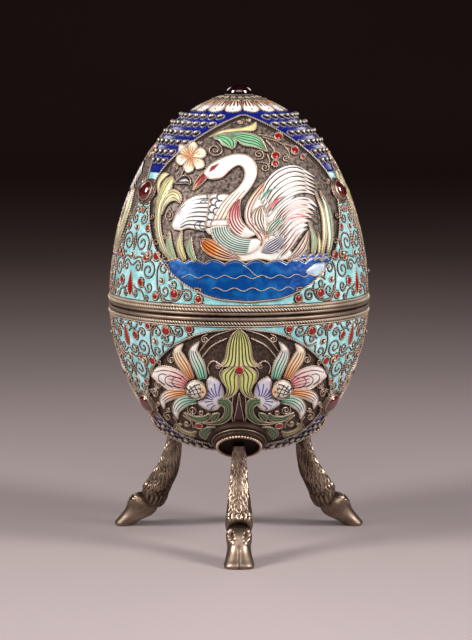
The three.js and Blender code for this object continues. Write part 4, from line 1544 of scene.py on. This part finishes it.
class EGG_OT_rims(bpy.types.Operator):
    """Silver rims where the lid meets the lower half, with their rope wires"""

    bl_idname = "egg.rims"
    bl_label = "Rims"

    def execute(self, context):
        thick = sizes().rim_rope
        z = SEAM_Z
        lip = radius_at(v_at_height(RIM_HIGH[2])) - WIRE - WALL - LIP_GAP
        inside = radius_at(v_at_height(LID_RIM_TOP)) - WIRE - WALL
        low, top, lip_top = RIM_LOW[2], LID_RIM_TOP, RIM_HIGH[2]
        band = np.array(LID_BAND) + (RIM_RADIUS, z, 0)
        lid = np.vstack([(inside, z, 0.5), band, (RIM_RADIUS - 1.1, top, 0.1), (inside, top, 0.5)])
        band = np.array(LOWER_BAND) + (RIM_RADIUS, z, 0)
        lower = np.vstack([
            (lip - LIP_WALL, low, 0.5), (RIM_RADIUS - 0.8, low, 0.1), (RIM_RADIUS - 0.6, low + 0.2, 0),
            band, (lip, z, 0.3), (lip, lip_top - 0.3, 0.6), (lip - 0.3, lip_top, 0.7),
            (lip - LIP_WALL, lip_top, 0.6)])
        for node, profile, ropes, turn in (
            ("lid_rim", lid, ((0.3, 1.56, thick, 0.84), (0.36, 2.28, 0.2, 0.75)), LID_TURN),
            ("lower_rim", lower, ((0.32, -1.78, 0.9 * thick, 0.8),), 0),
        ):
            relief = Relief()
            relief.metal(turned(profile, 256), 0.6 * profile[:, 2:], loop=True)
            relief.make(f"{node}_ring", silver("Turned"), "silver", (turn,), replaces=(node,))
            relief = Relief()
            for inset, height, thickness, pitch in ropes:
                relief.metal(*rope_ring(RIM_RADIUS - inset, z + height, thickness, pitch), loop=True)
            relief.make(f"{node}_ropes", silver("Filigree"), "silver", (turn,))
        return {"FINISHED"}


def dome_profile(radius, girdle, top):
    """Cabochon's side: straight up to the girdle, then a quarter ellipse to the top."""
    a = np.linspace(0, math.pi / 2, 12)
    r = np.maximum(radius * np.cos(a), POLE)
    return [(POLE, 0), (radius, 0), *zip(r, girdle + (top - girdle) * np.sin(a))]


# Section of a bezel: radius, height over the ground, and wear.
BEZEL = np.array([
    (2.3, 0, 0), (3.5, -0.5, 0.5), (3.6, 0.3, 0.5), (3.4, 0.5, 0.4), (2.9, 0.4, 0), (2.78, 0.5, 0),
    (2.72, 0.95, 0.7), (2.6, 1.15, 0.9), (2.42, 1.15, 0.8), (2.3, 1, 0)])
BEZEL_ROPE = (3.2, 0.62, 0.24, 0.6)  # radius, height, thickness and pitch
CABOCHON = (2.38, 0.9, 2.1)  # radius, height of the girdle and of the top
STONE_Z = {"lid": 93.5, "lower": 38.6}


class EGG_OT_stones(bpy.types.Operator):
    """Garnet cabochons in rope-edged settings, three on the lid and three below"""

    bl_idname = "egg.stones"
    bl_label = "Stones"

    def execute(self, context):
        rope_grid, rope_wear = rope_ring(*BEZEL_ROPE)
        for part, start in (("lid", LID_TURN), ("lower", 0)):
            v = v_at_height(STONE_Z[part])
            for number, turn in enumerate(spandrel_turns(start), 1):
                setting, stone = Relief(), Relief()
                setting.metal(seated(turned(BEZEL, 48), v, turn), BEZEL[:, 2:], loop=True)
                setting.metal(seated(rope_grid, v, turn), rope_wear, loop=True)
                setting.make(
                    f"{part}_bezel_{number}", silver("Turned"), "silver",
                    replaces=(f"{part}_setting_{number}",))
                stone.add(seated(turned(dome_profile(*CABOCHON), 40), v, turn, 0.05))
                stone.make(
                    f"{part}_garnet_{number}", garnet_material("Garnet"), "garnet",
                    replaces=(f"{part}_stone_{number}",))
        return {"FINISHED"}


def over_top(rho, h):
    """Height of a point h over the silver ground at a distance from the axis, on the lid's top."""
    lid = TABLE_V > 20
    return np.interp(rho, TABLE_R[lid][::-1], TABLE_Z[lid][::-1]) + h - WIRE


# Section of the finial's collar on the lid's top, in the chart: v and height over the ground.
FINIAL_EDGE = np.array([
    (67.6, 0.1), (63.1, 0), (62.95, 0.2), (63.3, 0.35), (64.6, 0.4), (66.2, 0.42), (66.7, 0.5),
    (67.2, 0.5), (67.6, 0.4)])


def coil_tube(path):
    """Thin wire over the finial's collar along a path in plan, with a section of four points."""
    n = left_normal(path)
    a = around(4) - math.pi / 2
    x, y = (path[:, k, None] + 0.13 * np.cos(a) * n[:, k, None] for k in (0, 1))
    return np.stack([x, y, over_top(np.hypot(x, y), 0.5 + 0.13 * np.sin(a))], axis=-1)


class EGG_OT_finial(bpy.types.Operator):
    """Filigree collar on the lid's top with its garnet"""

    bl_idname = "egg.finial"
    bl_label = "Finial"

    def execute(self, context):
        relief, stone = Relief(), Relief()
        relief.metal(turned(np.stack(section_point(*FINIAL_EDGE.T), axis=-1), 72), -0.5, loop=True)
        for radius, lift, thick, pitch in ((6.95, 0.45, 0.2, 0.8), (3.5, 0.55, 0.2, 0.7)):
            grid, wear = rope_ring(radius, over_top(radius, lift), thick, pitch)
            relief.metal(grid, 0.5 * wear, loop=True)
        for turn in range(0, 360, 20):
            relief.metal(coil_tube(scroll(0, 5.2, 0.95, turn, 1.3) @ rotation(turn)[:2, :2]), 0.45)
        relief.make(
            "finial_collar", silver("Filigree"), "silver", (LID_TURN,), replaces=("finial_setting",))
        z, top = box_mm("finial_setting")[0][2] + 0.1, box_mm("finial_stone")[1][2]
        sides = [
            (POLE, z), (3, z), (3.3, z + 0.5), (3.4, z + 1.1), (3.3, z + 1.7), (3, z + 2.2),
            (2.45, z + 2.7), (1.7, top - 0.26), (0.9, top - 0.06), (POLE, top)]
        stone.add(turned(sides, 48))
        stone.make(
            "finial_garnet", garnet_material("Black garnet", 0.12), "garnet", replaces=("finial_stone",))
        return {"FINISHED"}


# v along a petal from its root, and its half width as a share of its room.
PETAL = [(62.9, 0.8), (61.9, 0.84), (60.7, 0.9), (59.4, 0.94), (58.2, 0.92), (57.3, 0.66), (56.8, 0.12)]


class EGG_OT_rosette(bpy.types.Operator):
    """White petals round the finial, each with dark, red and orange lines and a dot near its tip"""

    bl_idname = "egg.rosette"
    bl_label = "Rosette"

    def execute(self, context):
        c, count = palette(), sizes().petals
        v, share = np.array(PETAL).T
        half = radius_at(v) * math.radians(180 / count) * share
        panel = Panel()
        panel.leaf(
            np.stack([0 * v, v, half], axis=-1), [c.cream, c.cream, c.white, c.white, c.white], base=0.18,
            crown=0.2, lines=3, line=c.ink, span=(0, 0.55), width=0.26)
        for side in (1, -1):
            panel.stroke(
                [(side * 1, 62.4), (side * 1.35, 61.2), (side * 1.8, 60.2)],
                c.red, 0.18, 0.42, count=6)
            panel.stroke([(side * 0.35, 62.4), (side * 0.6, 61)], c.orange, 0.12, 0.42, count=6)
        panel.spot(0, 58, 0.28, 0.5, c.ink, sides=8)
        turns = [LID_TURN + 360 / count * (k + 0.5) for k in range(count)]
        panel.enamel.make("rosette_petals", enamel_material("Opaque enamel"), "lid_enamel", turns)
        panel.wires.make("rosette_wires", silver("Picture"), "silver", turns)
        return {"FINISHED"}


# Section of a leg's collar: radius, height over its seat, and wear.
COLLAR = np.array([
    (POLE, -0.95, 0), (7.5, -1.85, -0.4), (7.6, 0.1, -0.4), (7.45, 0.32, 0), (7.2, 0.2, -0.4),
    (6.95, 0.35, -0.3), (6.6, 0.95, -0.3), (6.4, 1.3, 0.15), (6.1, 1.5, -0.2), (5.95, 1.7, -0.3),
    (5.8, 1.95, -0.5), (5.6, 2, -0.5), (5.35, 1.95, -0.5), (5.2, 1.7, -0.5), (5.2, 0.8, -0.5),
    (POLE, 0.8, -0.5)])
COLLAR_ROPE = (6.85, 0.62, 0.16, 0.5)  # radius, height, thickness and pitch
COLLAR_BEADS = 46
BEAD_RING, BEAD_HEIGHT, BEAD_RADIUS = 5.6, 2.1, 0.38


class EGG_OT_collars(bpy.types.Operator):
    """Stepped round collars under the egg that hold the legs"""

    bl_idname = "egg.collars"
    bl_label = "Collars"

    def execute(self, context):
        rope_grid, rope_wear = rope_ring(*COLLAR_ROPE)
        level, a, b = BEAD_LEVELS, around(BEAD_SIDES), around(COLLAR_BEADS)
        ball = np.stack(
            [np.sin(level) * np.cos(a), np.sin(level) * np.sin(a), np.cos(level) + 0 * a], axis=-1)
        centres = np.stack([BEAD_RING * np.sin(b), -BEAD_RING * np.cos(b), BEAD_HEIGHT + 0 * b], axis=-1)
        row_of_beads = BEAD_RADIUS * ball + centres[:, None, None]
        for number, turn in enumerate(panel_turns(0), 1):
            relief = Relief()
            for grid, wear, loop in (
                (turned(COLLAR, 72), COLLAR[:, 2:], False), (rope_grid, rope_wear, True),
                (row_of_beads, 0.85, False),
            ):
                relief.metal(seated(grid, COLLAR_V, turn, WIRE), wear, loop)
            relief.make(
                f"leg_collar_{number}", silver("Turned"), "silver", replaces=(f"collar_{number}",))
        return {"FINISHED"}


# ---- legs

# Sections of a leg's shank and of its hoof, from the top down: front and back points of the side
# outline as radius and height from the egg's axis, and the width across.
SHANK = [
    (21.9, 28.7, 18.7, 27.7, 3.3), (22.0, 25.4, 18.1, 24.0, 3.5), (22.9, 21.7, 18.5, 19.9, 4.3),
    (24.4, 18.2, 19.6, 15.4, 5.3), (27.0, 14.6, 21.6, 11.4, 6.2), (28.7, 12.3, 22.8, 8.8, 6.8),
    (29.2, 11.5, 23.5, 7.2, 7.0), (29.3, 10.9, 24.4, 6.0, 6.8), (29.0, 10.2, 25.5, 5.7, 5.7),
    (28.4, 9.7, 26.8, 6.5, 3.0)]
HOOF = [
    (28.6, 9.5, 26.4, 8.2, 3.6), (30.5, 9.5, 25.8, 6.8, 5.6), (32.1, 9.0, 26.1, 5.2, 6.6),
    (33.4, 7.9, 26.8, 4.0, 6.5), (34.4, 6.2, 28.0, 3.0, 6.1), (35.4, 4.4, 29.9, 2.1, 6.3),
    (36.9, 2.5, 31.8, 1.15, 7.1), (38.2, 0.9, 32.9, 0.4, 7.7), (37.6, 0, 33.3, 0, 7.3)]
LEG_RING = 144


def loft(stations, rows, carve):
    """Limb through its sections, each a slightly squared ellipse between its front and back
    points. From the run down the front, the angle from the front and the place across, carve
    gives how far the surface stands out and its wear, with a painted highlight on the hoof's toe."""
    s = spline(stations, rows)
    front, back, half = s[:, 0:2], s[:, 2:4], s[:, 4:5] / 2
    middle, reach = (front + back) / 2, (front - back) / 2
    depth = np.linalg.norm(reach, axis=1, keepdims=True)
    run = np.linspace(0, path_length(front), rows)[:, None]
    a = around(LEG_RING)
    cos, sin = (np.sign(wave) * np.abs(wave) ** 0.9 for wave in (np.cos(a), np.sin(a)))
    push, wear = carve(run, np.minimum(a, 2 * math.pi - a), half * sin)
    point = middle[:, None] + ((depth + push) * cos)[..., None] * (reach / depth)[:, None]
    grid = np.stack([(half + push) * sin, -point[..., 0], np.maximum(point[..., 1], 0)], axis=-1)
    return grid[::-1], np.clip(wear, 0.02, 1)[::-1]


def fur(run, angle, x):
    """Fur in columns that part in front and run down and outwards. A column is a rounded ridge,
    cut into strokes of uneven strength by a wave down the leg. It ends in tufts over the fetlock."""
    column = 18 * angle / math.pi - 0.27 * run + 0.3 * np.sin(1.9 * run + 5 * angle + 0.8 * np.sign(x))
    strand = np.floor(column)
    beat = run / 3.4 + 0.618 * strand + 0.1 * np.sin(3 * strand) + 0.3 * np.sign(x)
    ridge = np.sin(math.pi * (column - strand)) ** 0.8
    stroke = np.sin(math.pi * (beat % 1)) ** 0.5
    strength = 0.62 + 0.38 * np.sin(12.9 * strand + 4.7 * np.floor(beat))
    furred = smooth_step(run, 0.6, 2.6) * (1 - smooth_step(run, 16.6, 17.6))
    furred = furred * (0.6 + 0.4 * smooth_step(angle, 0.15, 0.6)) * (1 - 0.5 * smooth_step(angle, 1.3, 2.1))
    tufted = smooth_step(run, 16.8, 17.6) * (1 - smooth_step(run, 19.2, 20.2))
    bend = 0.9 * np.sin(2.2 * run + 3 * angle)
    tuft = np.abs(np.sin(9 * angle + 0.8 + bend)) * (0.7 + 0.3 * np.sin(17 * angle))
    tuft = tuft * (1 - 0.5 * smooth_step(angle, 0.7, 1.5))
    push = furred * (0.42 * ridge * stroke * strength - 0.13) + tufted * (0.45 * tuft - 0.15)
    return push, 0.36 + 3.2 * push - 0.2 * smooth_step(run, 20.2, 21.0) - 0.1 * smooth_step(angle, 1.2, 2.0)


def hoof(run, angle, x):
    """Smooth hoof with two raised oval outlines high in front, stippling between them, and a
    shallow groove down the middle below."""
    front = smooth_step(np.cos(angle), 0.0, 0.2)
    oval = np.hypot((np.abs(x) - 1.9 + 0.12 * (run - 5.1)) / 0.75, (run - 5.1) / 2.0)
    outline = np.exp(-(((oval - 1) / 0.26) ** 2)) * front
    between = front * (1 - smooth_step(np.abs(x), 0.6, 1.0)) * smooth_step(run, 3.2, 3.8)
    between = between * (1 - smooth_step(run, 6.6, 7.4))
    stipple = between * np.cos(2 * math.pi * x / 0.66) * np.cos(2 * math.pi * run / 0.7)
    groove = np.exp(-((x / 0.5) ** 2)) * smooth_step(run, 7.0, 10.0) * front
    outline = outline * (0.7 + 0.3 * np.sin(5 * run + 4 * x))
    push = 0.42 * outline + 0.12 * stipple - 0.3 * groove - 0.15 * np.exp(-((oval / 0.6) ** 2)) * front
    # Brighter towards the toe: a glossier worn toe with a painted highlight.
    wear = 0.36 + 0.2 * smooth_step(run, 5.0, 9.0) + 0.42 * outline + 0.4 * stipple - 0.35 * groove
    wear = wear - 0.4 * np.exp(-((oval / 0.7) ** 2)) * front
    return push, wear - 0.3 * (1 - smooth_step(run, 2.0, 3.2)) - 0.08 * smooth_step(angle, 0.8, 1.6)


class EGG_OT_legs(bpy.types.Operator):
    """Three cast legs with engraved fur, a fetlock and a cloven hoof"""

    bl_idname = "egg.legs"
    bl_label = "Hoof legs"

    def execute(self, context):
        parts = [loft(SHANK, 108, fur), loft(HOOF, 56, hoof)]
        for number, turn in enumerate(panel_turns(0), 1):
            relief = Relief()
            for grid, wear in parts:
                relief.metal(grid, wear)
            relief.make(
                f"hoof_leg_{number}", silver("Cast"), "cast_silver", (turn,), replaces=(f"leg_{number}",))
        return {"FINISHED"}


# ---- stage


def soft_light(name, eye, target, width, height, watts, tint, spread):
    """Rectangular softbox that faces the target, with a grid that keeps its light within the spread."""
    lamp = bpy.data.lights.new(name, "AREA")
    lamp.shape = "RECTANGLE"
    lamp.size = width
    lamp.size_y = height
    lamp.energy = watts
    lamp.color = tint
    lamp.spread = math.radians(spread)
    body = bpy.data.objects.new(name, lamp)
    body.location = eye
    body.rotation_euler = (Vector(target) - Vector(eye)).to_track_quat("-Z", "Y").to_euler()
    bpy.context.scene.collection.objects.link(body)


# Colour of the studio paper along y in metres, before and behind the egg: it darkens towards the back, a
# painted fall-off of the light.
PAPER_WITH_FALLOFF = [
    (-0.1, (0.472, 0.4, 0.41)), (0.0, (0.378, 0.32, 0.32)), (0.12, (0.34, 0.287, 0.287)),
    (0.31, (0.262, 0.214, 0.215)), (0.5, (0.222, 0.172, 0.166)), (0.9, (0.27, 0.182, 0.169)),
    (2.1, (0.26, 0.148, 0.143))]
FLOOR_FRONT, FLOOR_BEND, BACKDROP_TOP, FLOOR_SIDE = -6.0, 1.6, 3.0, 6.0
BEND_RADIUS = 0.7


def paper_material():
    """Studio paper, faintly mottled, that darkens from front to back: a painted fall-off of the light."""
    material, nodes, shader = new_material("Studio paper", 0.0, Specular_IOR_Level=0.15, Roughness=0.75)
    first, last = PAPER_WITH_FALLOFF[0][0], PAPER_WITH_FALLOFF[-1][0]
    depth = nodes.add("SeparateXYZ", {0: nodes.place()}).outputs[1]
    # The ramp paints the light's fall-off towards the backdrop.
    fade = nodes.add("ValToRGB", {0: nodes.remap(depth, first, last, 0.0, 1.0)})
    stops = fade.color_ramp.elements
    while len(stops) < len(PAPER_WITH_FALLOFF):
        stops.new(0.5)
    for stop, (y, tint) in zip(stops, PAPER_WITH_FALLOFF):
        stop.position = (y - first) / (last - first)
        stop.color = rgba(tint)
    mottle = nodes.remap(nodes.noise(3.0, 2.0), 0.3, 0.7, 0.96, 1.04)
    nodes.feed(shader, {"Base Color": nodes.shade(fade.outputs[0], mottle)})
    return material


def sweep_floor():
    """Pale floor that bends up far behind into a backdrop: a quarter circle between two planes."""
    a = np.linspace(0, math.pi / 2, 24)
    y = np.concatenate([[FLOOR_FRONT], FLOOR_BEND + BEND_RADIUS * np.sin(a), [FLOOR_BEND + BEND_RADIUS]])
    z = np.concatenate([[0], BEND_RADIUS * (1 - np.cos(a)), [BACKDROP_TOP]])
    x = np.linspace(-FLOOR_SIDE, FLOOR_SIDE, 3)
    grid = np.stack([x[None] + 0 * y[:, None], y[:, None] + 0 * x, z[:, None] + 0 * x], axis=-1)
    index = np.arange(grid[..., 0].size).reshape(grid.shape[:2])
    faces = np.stack([index[:-1, :-1], index[:-1, 1:], index[1:, 1:], index[1:, :-1]], axis=-1)
    mesh = bpy.data.meshes.new("floor")
    mesh.from_pydata(grid.reshape(-1, 3), [], faces.reshape(-1, 4).tolist())
    mesh.polygons.foreach_set("use_smooth", [True] * len(mesh.polygons))
    mesh.materials.append(paper_material())
    floor = bpy.data.objects.new("floor", mesh)
    bpy.context.scene.collection.objects.link(floor)


# Softboxes: name, place, width, height, watts, colour, and spread in degrees.
LIGHTS = [
    ("left_box", (-0.66, -0.36, 0.5), 0.26, 0.46, 1.3, (1.0, 0.97, 0.94), 70),
    ("right_box", (0.68, -0.36, 0.48), 0.24, 0.46, 1.3, (1.0, 0.97, 0.95), 70),
    ("front_fill", (0.0, -0.95, 0.95), 1.3, 0.8, 1.5, (1.0, 0.97, 0.94), 80),
    ("back_-1", (-0.5, 0.8, 0.5), 0.3, 0.4, 0.2, (1.0, 0.96, 0.93), 80),
    ("back_1", (0.5, 0.8, 0.5), 0.3, 0.4, 0.2, (1.0, 0.96, 0.93), 80)]
LIT_Z = 0.06  # height on the egg's axis that the lights are turned to
ROOM_COLOUR = (0.012, 0.0105, 0.010, 1)
CAMERA_X, CAMERA_AWAY, CAMERA_Z = -0.77, 617.7, 134.9  # millimetres, away from the egg's axis
CAMERA_DIP = 0.1232  # radians that the camera looks down
LENS = {"lens": 133.0, "sensor_width": 36.0, "clip_start": 0.01}


class EGG_OT_stage(bpy.types.Operator):
    """Pale floor, soft lights and the camera"""

    bl_idname = "egg.stage"
    bl_label = "Stage"

    def execute(self, context):
        scene = context.scene
        sweep_floor()
        for name, eye, width, height, watts, tint, spread in LIGHTS:
            soft_light(name, eye, (0, AXIS_Y * MM, LIT_Z), width, height, watts, tint, spread)
        scene.world = bpy.data.worlds.new("studio")
        scene.world.use_nodes = True
        scene.world.node_tree.nodes["Background"].inputs["Color"].default_value = ROOM_COLOUR
        scene.view_settings.view_transform = "Standard"
        lens = bpy.data.cameras.new("camera")
        for key, value in LENS.items():
            setattr(lens, key, value)
        scene.camera = bpy.data.objects.new("camera", lens)
        scene.camera.location = (CAMERA_X * MM, (AXIS_Y - CAMERA_AWAY) * MM, CAMERA_Z * MM)
        scene.camera.rotation_euler = (math.pi / 2 - CAMERA_DIP, 0, 0)
        scene.collection.objects.link(scene.camera)
        return {"FINISHED"}


# ---- add-on

OPERATORS = (
    EGG_OT_stage, EGG_OT_shells, EGG_OT_grounds, EGG_OT_frames, EGG_OT_scrollwork, EGG_OT_grains,
    EGG_OT_swan_panels, EGG_OT_flower_panels, EGG_OT_rosette, EGG_OT_finial, EGG_OT_stones, EGG_OT_rims,
    EGG_OT_collars, EGG_OT_legs)


class EGG_PT_panel(bpy.types.Panel):
    """Sizes, colours and the pieces of the egg"""

    bl_idname = "EGG_PT_panel"
    bl_label = "Enamel egg"
    bl_space_type = "VIEW_3D"
    bl_region_type = "UI"
    bl_category = "Egg"

    def draw(self, context):
        for settings in (context.scene.egg_sizes, context.scene.egg_colours):
            box = self.layout.box()
            for key in settings.__annotations__:
                box.prop(settings, key)
        for operator in OPERATORS:
            self.layout.operator(operator.bl_idname)


CLASSES = (EggSizes, EggColours, *OPERATORS, EGG_PT_panel)


def register():
    for cls in CLASSES:
        bpy.utils.register_class(cls)
    bpy.types.Scene.egg_sizes = PointerProperty(type=EggSizes)
    bpy.types.Scene.egg_colours = PointerProperty(type=EggColours)


def unregister():
    del bpy.types.Scene.egg_colours
    del bpy.types.Scene.egg_sizes
    for cls in reversed(CLASSES):
        bpy.utils.unregister_class(cls)


def main():
    """Builds every piece."""
    register()
    for operator in OPERATORS:
        category, name = operator.bl_idname.split(".")
        getattr(getattr(bpy.ops, category), name)()


if __name__ == "__main__":
    main()
